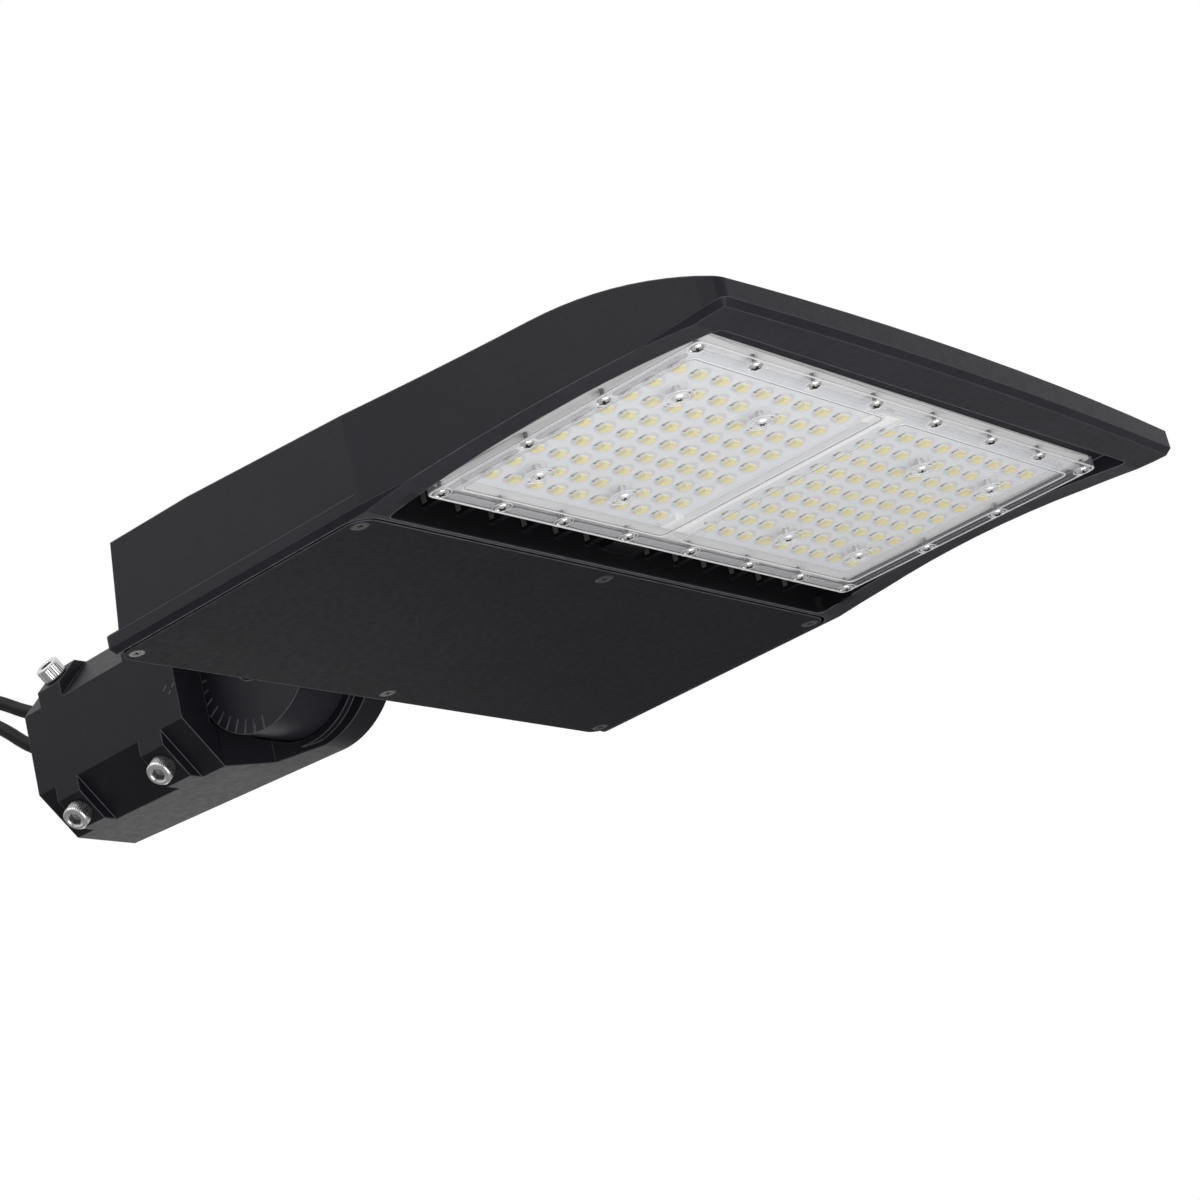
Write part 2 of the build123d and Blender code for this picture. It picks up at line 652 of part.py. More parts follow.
# Head housing: one casting with the driver compartment, the air slot, the fins and the light engine's plate
with BuildPart() as housing:
    with BuildSketch(Plane.XY.offset(underside_z)):
        with BuildLine():
            Polyline((waist_start_x, -head_half_width), (head_back_x, -head_half_width),
                     (head_back_x, head_half_width), (waist_start_x, head_half_width))
            ThreePointArc((waist_start_x, head_half_width), (waist_middle_x, head_half_width - waist_depth),
                          (waist_end_x, head_half_width))
            Line((waist_end_x, head_half_width), (nose_end_x, head_half_width))
            ThreePointArc((nose_end_x, head_half_width), (nose_x, 0), (nose_end_x, -head_half_width))
            Line((nose_end_x, -head_half_width), (waist_end_x, -head_half_width))
            ThreePointArc((waist_end_x, -head_half_width), (waist_middle_x, waist_depth - head_half_width),
                          (waist_start_x, -head_half_width))
        make_face()
    extrude(amount=reach)
    # Leaning back wall above the lip
    with BuildSketch(Plane.XZ):
        with BuildLine():
            Polyline(
                (head_back_x - reach, lip_top_z),
                (back_wall_x, lip_top_z),
                (back_wall_x + back_lean * lean_share, reach),
                (head_back_x - reach, reach),
                close=True,
            )
        make_face()
    extrude(amount=sky_half_width, both=True, mode=Mode.SUBTRACT)
    add(sky_back.part, mode=Mode.SUBTRACT)
    add(sky_nose.part, mode=Mode.SUBTRACT)
    # Flat pad for the bracket's gasket
    with BuildSketch(Plane.YZ.offset(pad_face_x)):
        with Locations((0, (lip_top_z + back_pad_top_z) / 2)):
            Rectangle(2 * (flange_half_width + back_pad_margin), back_pad_top_z - lip_top_z)
    extrude(amount=space_back_x - pad_face_x)
    # Bowed nose: rounded ends and a bevel along its lower edge
    upright = housing.edges().filter_by(Axis.Z)
    fillet(upright.group_by(Axis.X)[-1], nose_corner)
    fillet(housing.edges().filter_by(Axis.Z).group_by(Axis.X)[0], lip_corner)
    nose_edges = housing.faces().sort_by(Axis.Z)[0].edges().group_by(Axis.X)[-1]
    chamfer(nose_edges, nose_bevel)
    # Lower edges scooped to an arch along the waist, straight across the rim on both sides
    with BuildSketch(Plane.XZ):
        with BuildLine():
            ThreePointArc((waist_start_x, underside_z), (arch_middle_x, underside_z + scallop_rise),
                          (arch_end_x, underside_z))
            Line((arch_end_x, underside_z), (waist_start_x, underside_z))
        make_face()
    extrude(amount=head_half_width, both=True, mode=Mode.SUBTRACT)
    # Seat of the cover, the compartment and the lens recess
    with BuildSketch(Plane.XY.offset(underside_z)):
        with Locations((head_back_x + cover_length / 2, 0)):
            RectangleRounded(cover_length + 2 * cover_groove, 2 * (cover_half_width + cover_groove),
                             cover_corner + cover_groove)
    extrude(amount=land_z - underside_z, mode=Mode.SUBTRACT)
    add(driver_space.part, mode=Mode.SUBTRACT)
    with BuildSketch(Plane.XY.offset(underside_z)):
        with Locations(((box_front_x + recess_front_x) / 2, 0)):
            RectangleRounded(recess_front_x - box_front_x, 2 * recess_half_width, recess_corner)
    extrude(amount=plate_under_z - underside_z, mode=Mode.SUBTRACT)
    # Open spaces between the fins: through the slot behind the plate, above the plate in front of it
    with BuildSketch(Plane.XY.offset(plate_under_z)):
        for low_y, high_y in fin_gaps:
            with Locations(((box_front_x + plate_back_x) / 2, (low_y + high_y) / 2)):
                Rectangle(plate_back_x - box_front_x, high_y - low_y)
    extrude(amount=reach, mode=Mode.SUBTRACT)
    with BuildSketch(Plane.XY.offset(plate_top_z)):
        for low_y, high_y in fin_gaps:
            with Locations(((box_front_x + fin_front_x) / 2, (low_y + high_y) / 2)):
                Rectangle(fin_front_x - box_front_x, high_y - low_y)
    extrude(amount=reach, mode=Mode.SUBTRACT)
    # Screw and bolt holes, and the wire tunnel through the back
    with BuildSketch(Plane.XY.offset(land_z)):
        with Locations(*cover_screw_places):
            Circle(cover_screw_radius + thread_clearance)
    extrude(amount=cover_hole_depth, mode=Mode.SUBTRACT)
    with BuildSketch(Plane.XY.offset(plate_under_z)):
        with Locations(*lens_screw_places, *post_places):
            Circle(lens_screw_radius + thread_clearance)
    extrude(amount=lens_hole_depth, mode=Mode.SUBTRACT)
    with BuildSketch(Plane.XY.offset(driver_top_z)):
        with Locations(*driver_screw_places):
            Circle(driver_screw_radius + thread_clearance)
    extrude(amount=driver_hole_depth, mode=Mode.SUBTRACT)
    with BuildSketch(Plane.YZ.offset(pad_face_x)):
        with Locations(*bracket_bolt_places):
            Circle(bracket_bolt_radius + thread_clearance)
    extrude(amount=bracket_hole_depth, mode=Mode.SUBTRACT)
    with BuildSketch(Plane.YZ.offset(pad_face_x)):
        with Locations((wire_tunnel_y, wire_tunnel_z)):
            Circle(wire_tunnel_radius)
    extrude(amount=space_back_x + bolt_boss_depth - pad_face_x, mode=Mode.SUBTRACT)

# Compartment cover, its gasket and countersunk screws
with BuildPart() as driver_cover:
    with BuildSketch(Plane.XY.offset(underside_z)):
        with Locations((head_back_x + cover_length / 2, 0)):
            RectangleRounded(cover_length, 2 * cover_half_width, cover_corner)
    extrude(amount=cover_thickness)
    with Locations(*[(x, y, underside_z) for x, y in cover_screw_places]):
        Cone(cover_screw_head_radius + screw_gap, cover_screw_radius + screw_gap, cover_cone_height,
             align=rising, mode=Mode.SUBTRACT)
        Cylinder(cover_screw_radius + screw_gap, cover_thickness, align=rising, mode=Mode.SUBTRACT)

with BuildPart() as cover_gasket:
    with BuildSketch(Plane.XY.offset(cover_inner_z)):
        with Locations((head_back_x + cover_length / 2, 0)):
            RectangleRounded(cover_length - 2 * gasket_inset, 2 * (cover_half_width - gasket_inset),
                             cover_corner)
        with Locations(((space_back_x + space_front_x) / 2, 0)):
            Rectangle(space_front_x - space_back_x, 2 * space_half_width, mode=Mode.SUBTRACT)
        with Locations(*cover_screw_places):
            Circle(cover_screw_radius + screw_gap, mode=Mode.SUBTRACT)
    extrude(amount=cover_gasket_thickness)

with BuildPart() as cover_screws:
    with Locations(*[(x, y, underside_z) for x, y in cover_screw_places]):
        Cone(cover_screw_head_radius, cover_screw_radius, cover_cone_height, align=rising)
        Cylinder(cover_screw_radius, cover_screw_length, align=rising)

# Clear lens panel: a flat tray with a screwed rim and posts around the inner screws
with BuildPart() as lens_panel:
    with BuildSketch(Plane.XY.offset(lens_under_z)):
        with Locations((lens_centre_x, 0)):
            RectangleRounded(lens_length, 2 * lens_half_width, lens_corner)
    extrude(amount=lens_height)
    with BuildSketch(Plane.XY.offset(lens_under_z + lens_floor)):
        with Locations((lens_centre_x, 0)):
            RectangleRounded(lens_length - 2 * lens_flange, 2 * (lens_half_width - lens_flange), lens_corner)
        with Locations(*post_places):
            Circle(lens_post_radius, mode=Mode.SUBTRACT)
    extrude(amount=lens_height, mode=Mode.SUBTRACT)
    with BuildSketch(Plane.XY.offset(lens_under_z)):
        with Locations(*lens_screw_places, *post_places):
            Circle(lens_screw_radius + lens_clearance)
    extrude(amount=lens_height, mode=Mode.SUBTRACT)

with BuildPart() as lens_gasket:
    with BuildSketch(Plane.XY.offset(lens_top_z)):
        with Locations((lens_centre_x, 0)):
            RectangleRounded(lens_length - 2 * gasket_inset, 2 * (lens_half_width - gasket_inset),
                             lens_corner)
            RectangleRounded(lens_length - 2 * lens_flange, 2 * (lens_half_width - lens_flange), lens_corner,
                             mode=Mode.SUBTRACT)
        with Locations(*lens_screw_places):
            Circle(lens_screw_radius + lens_clearance, mode=Mode.SUBTRACT)
    extrude(amount=lens_gasket_thickness)

with BuildPart() as lens_screws:
    with Locations(*[(x, y, lens_under_z) for x, y in lens_screw_places + post_places]):
        Cylinder(lens_screw_head_radius, lens_screw_head_height, align=hanging)
        Cylinder(lens_screw_radius, lens_screw_length, align=rising)


def led_board(side):
    """Circuit board of one half, with clearance holes for the lens panel's posts."""
    with BuildPart() as board:
        with BuildSketch(Plane.XY.offset(board_under_z)):
            with Locations((lens_centre_x, side * (board_inner_y + board_outer_y) / 2)):
                Rectangle(board_length, board_outer_y - board_inner_y)
            with Locations(*post_places):
                Circle(lens_post_radius + lens_clearance, mode=Mode.SUBTRACT)
        extrude(amount=board_thickness)
    return board


def led_chips(side):
    """LEDs of one half: a square grid with the places of the posts left free."""
    grid = [led_place(row, column, side) for row in range(led_count) for column in range(led_count)]
    with BuildPart() as chips:
        with BuildSketch(Plane.XY.offset(board_under_z)):
            with Locations(*[place for place in grid if place not in post_places]):
                Rectangle(led_width, led_width)
        extrude(amount=-led_height)
    return chips


led_board_left = led_board(1)
led_board_right = led_board(-1)
led_chips_left = led_chips(1)
led_chips_right = led_chips(-1)

with BuildPart() as centre_bar:
    with BuildSketch(Plane.XY.offset(plate_under_z)):
        with Locations(((bar_start_x + bar_end_x) / 2, 0)):
            Rectangle(bar_end_x - bar_start_x, 2 * bar_half_width)
    extrude(amount=-bar_height)

with BuildPart() as board_connectors:
    with BuildSketch(Plane.XY.offset(board_under_z)):
        with Locations(*connector_places):
            Rectangle(connector_length, connector_width)
    extrude(amount=-connector_height)

# LED driver hung from the roof bosses by its two feet
with BuildPart() as led_driver:
    with BuildSketch(Plane.XY.offset(driver_top_z)):
        with Locations((driver_centre_x, 0)):
            Rectangle(driver_width, driver_length)
    extrude(amount=-driver_height)
    with BuildSketch(Plane.XY.offset(driver_top_z)):
        with Locations((driver_centre_x, 0)):
            Rectangle(driver_width, driver_length + 2 * driver_foot)
        with Locations(*driver_screw_places):
            Circle(driver_screw_radius + lens_clearance, mode=Mode.SUBTRACT)
    extrude(amount=-driver_foot_thickness)

with BuildPart() as driver_screws:
    with Locations(*[(x, y, driver_top_z - driver_foot_thickness) for x, y in driver_screw_places]):
        Cylinder(driver_screw_head_radius, driver_screw_head_height, align=hanging)
        Cylinder(driver_screw_radius, driver_screw_length, align=rising)

with BuildPart() as surge_protector:
    with BuildSketch(Plane.XY.offset(gear_top_z)):
        with Locations((gear_pad_x, surge_y)):
            Rectangle(surge_length, surge_width)
    extrude(amount=-surge_height)

with BuildPart() as terminal_block:
    with BuildSketch(Plane.XY.offset(gear_top_z)):
        with Locations((gear_pad_x, terminal_y)):
            Rectangle(terminal_length, terminal_width)
    extrude(amount=-terminal_height)
    with BuildSketch(Plane.YZ.offset(gear_pad_x - terminal_length / 2)):
        with Locations((terminal_y, gear_top_z - terminal_height / 2)):
            with GridLocations(terminal_width / terminal_ways, 1, terminal_ways, 1):
                Circle(terminal_entry_radius)
    extrude(amount=terminal_entry_depth, mode=Mode.SUBTRACT)

# Grommets in the socket's end wall
with BuildPart() as wire_grommets:
    with BuildSketch(Plane.YZ.offset(socket_end_x)):
        with Locations(*cord_places):
            Circle(grommet_radius - grommet_gap)
    extrude(amount=grommet_length)

# Supply cords: out of the socket along their grooves, up, over and down to a free end
power_route = [
    (socket_end_x, power_groove_y, power_groove_z),
    (54.0, power_groove_y, power_groove_z),
    (20.0, power_groove_y, power_groove_z + groove_bow),
    (-13.0, power_groove_y, power_groove_z),
    (-37.3, power_groove_y, 41.5),
    (-66.4, 4.0, 62.6),
    (-97.3, -7.0, 77.2),
    (-130.0, -26.0, 73.2),
    (-155.0, -43.5, 47.5),
    (-168.0, -52.5, 8.6),
    (-173.5, -56.0, -37.0),
    (-175.0, -58.0, -87.0),
    (-176.5, -57.0, -133.0),
]
dimming_route = [
    (socket_end_x, dimming_groove_y, dimming_groove_z),
    (54.0, dimming_groove_y, dimming_groove_z),
    (20.0, dimming_groove_y + groove_bow, dimming_groove_z),
    (-12.0, dimming_groove_y, dimming_groove_z),
    (-40.0, dimming_groove_y, 24.5),
    (-67.0, dimming_groove_y, 36.0),
    (-92.0, 29.5, 60.9),
    (-121.5, 32.5, 79.0),
    (-155.5, 40.5, 77.5),
    (-181.0, 47.5, 52.0),
    (-192.7, 52.0, 12.8),
    (-196.7, 54.0, -33.0),
    (-198.0, 54.5, -81.0),
    (-198.5, 53.5, -125.0),
]


def cord(route):
    """Round cord along a route of straight runs joined by tangent arcs."""
    with BuildPart() as tube:
        with BuildLine() as path:
            FilletPolyline(*route, radius=cord_radii(route))
        with BuildSketch(Plane(origin=path.line @ 0, z_dir=path.line % 0)):
            Circle(cord_radius)
        sweep()
    length = path.wire().length
    print("bend radii", [round(radius, 1) for radius in cord_radii(route)])
    print("length", round(length, 1), "volume", round(tube.part.volume),
          "expected", round(math.pi * cord_radius ** 2 * length))
    return tube


def bare_cores(route, count):
    """Bare cores that stick out of a cord's free end."""
    end = Vector(route[-1])
    onward = (end - Vector(route[-2])).normalized()
    with BuildPart() as cores:
        with BuildSketch(Plane(origin=end, z_dir=onward)):
            with PolarLocations(core_spread, count):
                Circle(core_radius)
        extrude(amount=core_length)
    return cores


power_cord = cord(power_route)
dimming_cord = cord(dimming_route)
power_cord_cores = bare_cores(power_route, power_core_count)
dimming_cord_cores = bare_cores(dimming_route, dimming_core_count)

pieces = {
    "slip_fitter_arm": slip_fitter_arm,
    "clamp_screws": clamp_screws,
    "pivot_bolt": pivot_bolt,
    "pivot_washer": pivot_washer,
    "pivot_nut": pivot_nut,
    "wire_grommets": wire_grommets,
    "power_cord": power_cord,
    "dimming_cord": dimming_cord,
    "power_cord_cores": power_cord_cores,
    "dimming_cord_cores": dimming_cord_cores,
    "knuckle_bracket": knuckle_bracket,
    "bracket_gasket": bracket_gasket,
    "bracket_bolts": bracket_bolts,
    "housing": housing,
    "driver_cover": driver_cover,
    "cover_gasket": cover_gasket,
    "cover_screws": cover_screws,
    "lens_panel": lens_panel,
    "lens_gasket": lens_gasket,
    "lens_screws": lens_screws,
    "led_board_left": led_board_left,
    "led_board_right": led_board_right,
    "led_chips_left": led_chips_left,
    "led_chips_right": led_chips_right,
    "centre_bar": centre_bar,
    "board_connectors": board_connectors,
    "led_driver": led_driver,
    "driver_screws": driver_screws,
    "surge_protector": surge_protector,
    "terminal_block": terminal_block,
}
for label, piece in pieces.items():
    piece.part.label = label
    export_step(piece.part, "parts/" + label + ".step")
    print(label, round(piece.part.volume), len(piece.part.solids()))
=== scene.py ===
# %% [markdown]
# # A parking lot light
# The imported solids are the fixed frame: every casting, board and screw already stands where it belongs,
# in metres. This lesson dresses them. A camera and soft light come first, then the two supply cords, then
# the finishes, and last the small fittings that a lathe or a mould would add, such as screw drives and LED
# domes.

# %% Load the frame
import json
import math

import bmesh
import bpy
from mathutils import Matrix, Vector


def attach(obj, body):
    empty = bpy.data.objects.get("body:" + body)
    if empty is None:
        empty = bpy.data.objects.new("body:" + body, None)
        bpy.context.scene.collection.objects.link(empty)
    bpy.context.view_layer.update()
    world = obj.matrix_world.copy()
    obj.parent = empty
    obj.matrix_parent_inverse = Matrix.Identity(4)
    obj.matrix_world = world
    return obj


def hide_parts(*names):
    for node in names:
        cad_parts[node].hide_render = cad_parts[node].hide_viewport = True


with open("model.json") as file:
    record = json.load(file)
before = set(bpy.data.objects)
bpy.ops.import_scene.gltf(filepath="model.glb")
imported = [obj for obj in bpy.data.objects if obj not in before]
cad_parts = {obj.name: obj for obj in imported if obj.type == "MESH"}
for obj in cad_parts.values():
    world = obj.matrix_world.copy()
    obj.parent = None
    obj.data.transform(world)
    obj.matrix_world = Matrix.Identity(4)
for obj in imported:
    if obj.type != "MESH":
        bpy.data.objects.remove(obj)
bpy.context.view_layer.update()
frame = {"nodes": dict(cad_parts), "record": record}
nodes = frame["nodes"]
MM = 0.001
print("nodes in the frame:", len(nodes))

# %% [markdown]
# ## Camera
# The light is seen from below and from its clamp side, as if it stood on its pole above the viewer. A camera
# could be aimed at the head with a constraint, but its roll would then be a guess. Its place and its three
# axes were worked out from the straight edges of the head instead, so they are given as numbers.

# %% Camera
def linked(name, data):
    """Makes an object from a mesh, curve, lamp or camera and links it to the scene."""
    made = bpy.data.objects.new(name, data)
    bpy.context.scene.collection.objects.link(made)
    return made


camera_data = bpy.data.cameras.new("photo_camera")
camera_data.sensor_width = 36.0
camera_data.lens = 96.84
camera = linked("photo_camera", camera_data)
camera_right = Vector((0.74718, 0.62295, -0.23165))
camera_up = Vector((0.39059, -0.12957, 0.91140))
camera_back = Vector((0.53774, -0.77146, -0.34013))
camera_place = (1.1028, -1.1100, -0.5398)
camera_turn = Matrix((camera_right, camera_up, camera_back)).transposed()
camera.matrix_world = Matrix.Translation(camera_place) @ camera_turn.to_4x4()
bpy.context.scene.camera = camera
bpy.context.scene.view_settings.view_transform = "Standard"
print("camera at", camera_place, "m with a lens of", camera_data.lens, "mm")


# %% [markdown]
# ## A small language for node trees
# A finish is a node tree, and so is the light of the world. Wiring one by hand is long. So one class wraps
# an output socket and lets plus, minus and times add the Math nodes, and one method makes any other node
# from its type, its settings and its inputs.

# %% Node helper
class Wire:
    """An output socket in a node tree; arithmetic on it adds Math nodes."""

    def __init__(self, wiring, socket):
        self.wiring = wiring
        self.socket = socket

    def __add__(self, other):
        return self.wiring.maths_of("ADD", self, other)

    def __sub__(self, other):
        return self.wiring.maths_of("SUBTRACT", self, other)

    def __rsub__(self, other):
        return self.wiring.maths_of("SUBTRACT", other, self)

    def __mul__(self, other):
        return self.wiring.maths_of("MULTIPLY", self, other)

    __radd__ = __add__
    __rmul__ = __mul__


class Wiring:
    """The node tree of a material or of the world."""

    def __init__(self, owner):
        owner.use_nodes = True
        self.tree = owner.node_tree
        self.tree.nodes.clear()

    def node(self, kind, settings=None, values=None, out=0):
        made = self.tree.nodes.new(kind)
        for key, value in (settings or {}).items():
            setattr(made, key, value)
        for key, value in (values or {}).items():
            if isinstance(value, Wire):
                self.tree.links.new(value.socket, made.inputs[key])
            else:
                made.inputs[key].default_value = value
        return Wire(self, made.outputs[out]) if len(made.outputs) else None

    def maths_of(self, operation, first, second=0.0):
        return self.node("ShaderNodeMath", {"operation": operation}, {0: first, 1: second})


class Finish(Wiring):
    """A new material; its patterns lie in object space."""

    def __init__(self, name):
        self.material = bpy.data.materials.new(name)
        super().__init__(self.material)

    def place(self):
        return self.node("ShaderNodeTexCoord", out="Object")

    def axes(self):
        apart = self.node("ShaderNodeSeparateXYZ", {}, {0: self.place()})
        return [Wire(self, socket) for socket in apart.socket.node.outputs]

    def noise(self, scale, detail=2.0, roughness=0.5):
        return self.node("ShaderNodeTexNoise", {}, {
            "Vector": self.place(), "Scale": scale, "Detail": detail, "Roughness": roughness})

    def ramp(self, value, start, end):
        """Zero at start and one at end, clamped."""
        return self.node("ShaderNodeMapRange", {}, {"Value": value, "From Min": start, "From Max": end})

    def blend(self, share, first, second):
        return self.node("ShaderNodeMix", {"data_type": "RGBA"}, {0: share, 6: first, 7: second}, out=2)

    def bump(self, strength, distance, height, **more):
        values = {"Strength": strength, "Distance": distance, "Height": height}
        return self.node("ShaderNodeBump", {}, {**values, **more})

    def surface(self, **values):
        """Ends the tree in a Principled shader; an underscore stands for a space in an input's name."""
        inputs = {key.replace("_", " "): value for key, value in values.items()}
        shader = self.node("ShaderNodeBsdfPrincipled", {}, inputs)
        self.node("ShaderNodeOutputMaterial", {}, {0: shader})


def grey(level, blue=0.0):
    return (level, level, level + blue, 1.0)


# %% [markdown]
# ## Backdrop, lamps and floor
# The light stands before a white studio wall. A wall of its own would throw much light back at the castings,
# so the world is the backdrop: white where the camera, a mirror or clear plastic looks at it, and a plainer
# grey where it lights the castings. Three soft boxes then shape the coat, and a pale floor far below keeps
# the underside from going black.

# %% World and lamps
LIGHTING_LEVEL = 0.30
world = bpy.data.worlds.new("studio")
bpy.context.scene.world = world
sky = Wiring(world)
seen = sky.node("ShaderNodeLightPath", out="Is Camera Ray")
mirrored = sky.node("ShaderNodeLightPath", out="Is Glossy Ray")
refracted = sky.node("ShaderNodeLightPath", out="Is Transmission Ray")
shown = sky.maths_of("MAXIMUM", sky.maths_of("MAXIMUM", seen, mirrored), refracted)
strength = sky.node("ShaderNodeMapRange", {}, {"Value": shown, "To Min": LIGHTING_LEVEL, "To Max": 1.0})
backdrop = sky.node("ShaderNodeBackground", {}, {"Color": grey(1.0), "Strength": strength})
sky.node("ShaderNodeOutputWorld", {}, {"Surface": backdrop})


def softbox(name, place, aim, size, power):
    """Square area lamp turned towards its aim and hidden from the camera."""
    lamp = bpy.data.lights.new(name, "AREA")
    lamp.shape = "SQUARE"
    lamp.size = size
    lamp.energy = power
    holder = linked(name, lamp)
    holder.location = place
    holder.rotation_euler = (Vector(aim) - Vector(place)).to_track_quat("-Z", "Y").to_euler()
    holder.visible_camera = False


head_middle = (0.35, 0.0, -0.02)
arm_middle = (0.06, 0.0, -0.04)
softbox("key_softbox", (-0.6, -0.8, 1.4), head_middle, size=1.2, power=12.0)
softbox("low_softbox", (0.9, -0.3, -0.68), head_middle, size=0.8, power=6.6)
softbox("arm_softbox", (-0.5, 0.58, -0.3), arm_middle, size=0.3, power=0.6)
print("lamps:", [lamp.name for lamp in bpy.data.lights])

# %% Floor
FLOOR_Z, FLOOR_REACH = -1.1, 6.0
floor_mesh = bpy.data.meshes.new("floor")
corner_signs = ((-1, -1), (1, -1), (1, 1), (-1, 1))
floor_corners = [(x * FLOOR_REACH, y * FLOOR_REACH, FLOOR_Z) for x, y in corner_signs]
floor_mesh.from_pydata(floor_corners, [], [(0, 1, 2, 3)])
floor = linked("floor", floor_mesh)
pale = Finish("pale_floor")
pale.surface(Base_Color=grey(0.82), Roughness=0.8)
floor_mesh.materials.append(pale.material)
print("floor at", FLOOR_Z, "m")

# %% [markdown]
# ## Supply cords
# Two jacketed cords come out of the pole side of the socket, for the supply and for dimming. A swept mesh
# would show its facets on the tight bow. Each is one smooth curve instead: its control points are the same
# ones that the solid tubes follow, and a round bevel gives it its thickness.

# %% Cord jacket
jacket = Finish("cord_jacket")
jacket_grain = jacket.noise(900.0, 3.0)
jacket.surface(
    Base_Color=jacket.blend(jacket.noise(60.0), grey(0.005, 0.001), grey(0.009, 0.002)),
    Roughness=jacket_grain * 0.15 + 0.45,
    Specular_IOR_Level=0.12,
    Normal=jacket.bump(0.15, 0.0002, jacket_grain),
)
print("made", jacket.material.name)

# %% Cords
CORD_DIAMETER = 7.3 * MM
power_route = [
    (88.0, 5.0, 34.4), (54.0, 5.0, 34.4), (20.0, 5.0, 34.65), (-13.0, 5.0, 34.4), (-37.3, 5.0, 41.5),
    (-66.4, 4.0, 62.6), (-97.3, -7.0, 77.2), (-130.0, -26.0, 73.2), (-155.0, -43.5, 47.5),
    (-168.0, -52.5, 8.6), (-173.5, -56.0, -37.0), (-175.0, -58.0, -87.0), (-176.5, -57.0, -133.0),
]
dimming_route = [
    (88.0, 30.0, 18.5), (54.0, 30.0, 18.5), (20.0, 30.25, 18.5), (-12.0, 30.0, 18.5), (-40.0, 30.0, 24.5),
    (-67.0, 30.0, 36.0), (-92.0, 29.5, 60.9), (-121.5, 32.5, 79.0), (-155.5, 40.5, 77.5),
    (-181.0, 47.5, 52.0), (-192.7, 52.0, 12.8), (-196.7, 54.0, -33.0), (-198.0, 54.5, -81.0),
    (-198.5, 53.5, -125.0),
]


def tube(name, kind, route, radius, smoothness):
    """Curve with a round bevel along a route in mm; gives the object and its spline."""
    curve = bpy.data.curves.new(name, "CURVE")
    curve.dimensions = "3D"
    curve.bevel_depth = radius
    curve.bevel_resolution = smoothness
    spline = curve.splines.new(kind)
    spline.points.add(len(route) - 1)
    for point, (x, y, z) in zip(spline.points, route):
        point.co = (x * MM, y * MM, z * MM, 1.0)
    return linked(name, curve), spline


for name, route, length in (("power_lead", power_route, 0.456), ("dimming_lead", dimming_route, 0.475)):
    lead, spline = tube(name, "NURBS", route, CORD_DIAMETER / 2, smoothness=6)
    spline.order_u = 3
    spline.use_endpoint_u = True
    lead.data.resolution_u = 12
    lead.data.use_fill_caps = True
    lead.data.materials.append(jacket.material)
    node = name.replace("lead", "cord")
    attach(lead, "slip_fitter")
    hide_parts(node)
    nodes[node + "_cores"]
    print(name, "points", len(route), "length", length, "m")

# %% [markdown]
# ## Powder coat
# The castings and the cover are painted with baked powder, a matt dark grey with a fine orange peel. One
# flat colour would look like plastic, so noise in object space gives the mottle and the peel. A Bevel node
# rounds the edges in the shading alone, and the solids stay as they are; along those edges the colour is
# painted lighter, with some noise, as a painted highlight. The housing also gets a painted highlight line
# along the parting line of its die, and painted shade darkens its coat in the slot behind the lens.

# %% Marks in the coat
def parting_line(coat, height, front, out):
    """Share of painted highlight along the die's parting line on the side walls."""
    along, across, up = coat.axes()
    line = coat.ramp(coat.maths_of("ABSOLUTE", up - height), 0.00035, 0.0001)
    outside = coat.maths_of("GREATER_THAN", coat.maths_of("ABSOLUTE", across), out)
    behind = coat.maths_of("LESS_THAN", along, front)
    return line * outside * behind * 0.3


def in_slot(coat, back, front, low, high, half_width):
    """One inside the slot behind the lens and zero elsewhere."""
    along, across, up = coat.axes()
    lengthwise = coat.maths_of("GREATER_THAN", along, back) * coat.maths_of("LESS_THAN", along, front)
    upright = coat.maths_of("GREATER_THAN", up, low) * coat.maths_of("LESS_THAN", up, high)
    sideways = coat.maths_of("LESS_THAN", coat.maths_of("ABSOLUTE", across), half_width)
    return lengthwise * upright * sideways


# %% Powder coat
def powder_coat(name, dark, light, edge, roughness, gloss, seam=None, slot=None):
    coat = Finish(name)
    peel = coat.noise(1400.0, 2.0)
    mottle = coat.ramp(coat.noise(35.0, 4.0, 0.65), 0.3, 0.7)
    rounded = coat.node("ShaderNodeBevel", {"samples": 8}, {"Radius": 1.0 * MM})
    flat = coat.node("ShaderNodeNewGeometry", out="Normal")
    facing = coat.node("ShaderNodeVectorMath", {"operation": "DOT_PRODUCT"}, {0: rounded, 1: flat}, out=1)
    # Painted highlight: the colour turns lighter where the Bevel normal leans from the face, at convex and
    # concave edges, with some noise.
    edge_highlight = coat.ramp(facing, 0.99, 0.86) * (coat.noise(150.0, 3.0) * 0.9 + 0.25)
    if seam is not None:
        # Painted highlight along the die's parting line, in the same lighter colour as the edges.
        edge_highlight = edge_highlight + parting_line(coat, **seam)
    paint = coat.blend(mottle, grey(dark, dark * 0.45), grey(light, light * 0.45))
    if slot is not None:
        # Painted shade: inside the slot behind the lens the coat is darkened to near black, and no edge
        # highlight is painted there.
        slot_shade = in_slot(coat, **slot)
        edge_highlight = edge_highlight * (1.0 - slot_shade)
        paint = coat.blend(slot_shade * 0.8, paint, grey(0.0015))
    coat.surface(
        Base_Color=coat.blend(edge_highlight, paint, grey(edge, edge * 0.15)),
        Roughness=coat.noise(260.0, 2.0) * 0.16 + roughness,
        Specular_IOR_Level=gloss,
        Normal=coat.bump(0.25, 0.0002, peel, Normal=rounded),
    )
    return coat.material


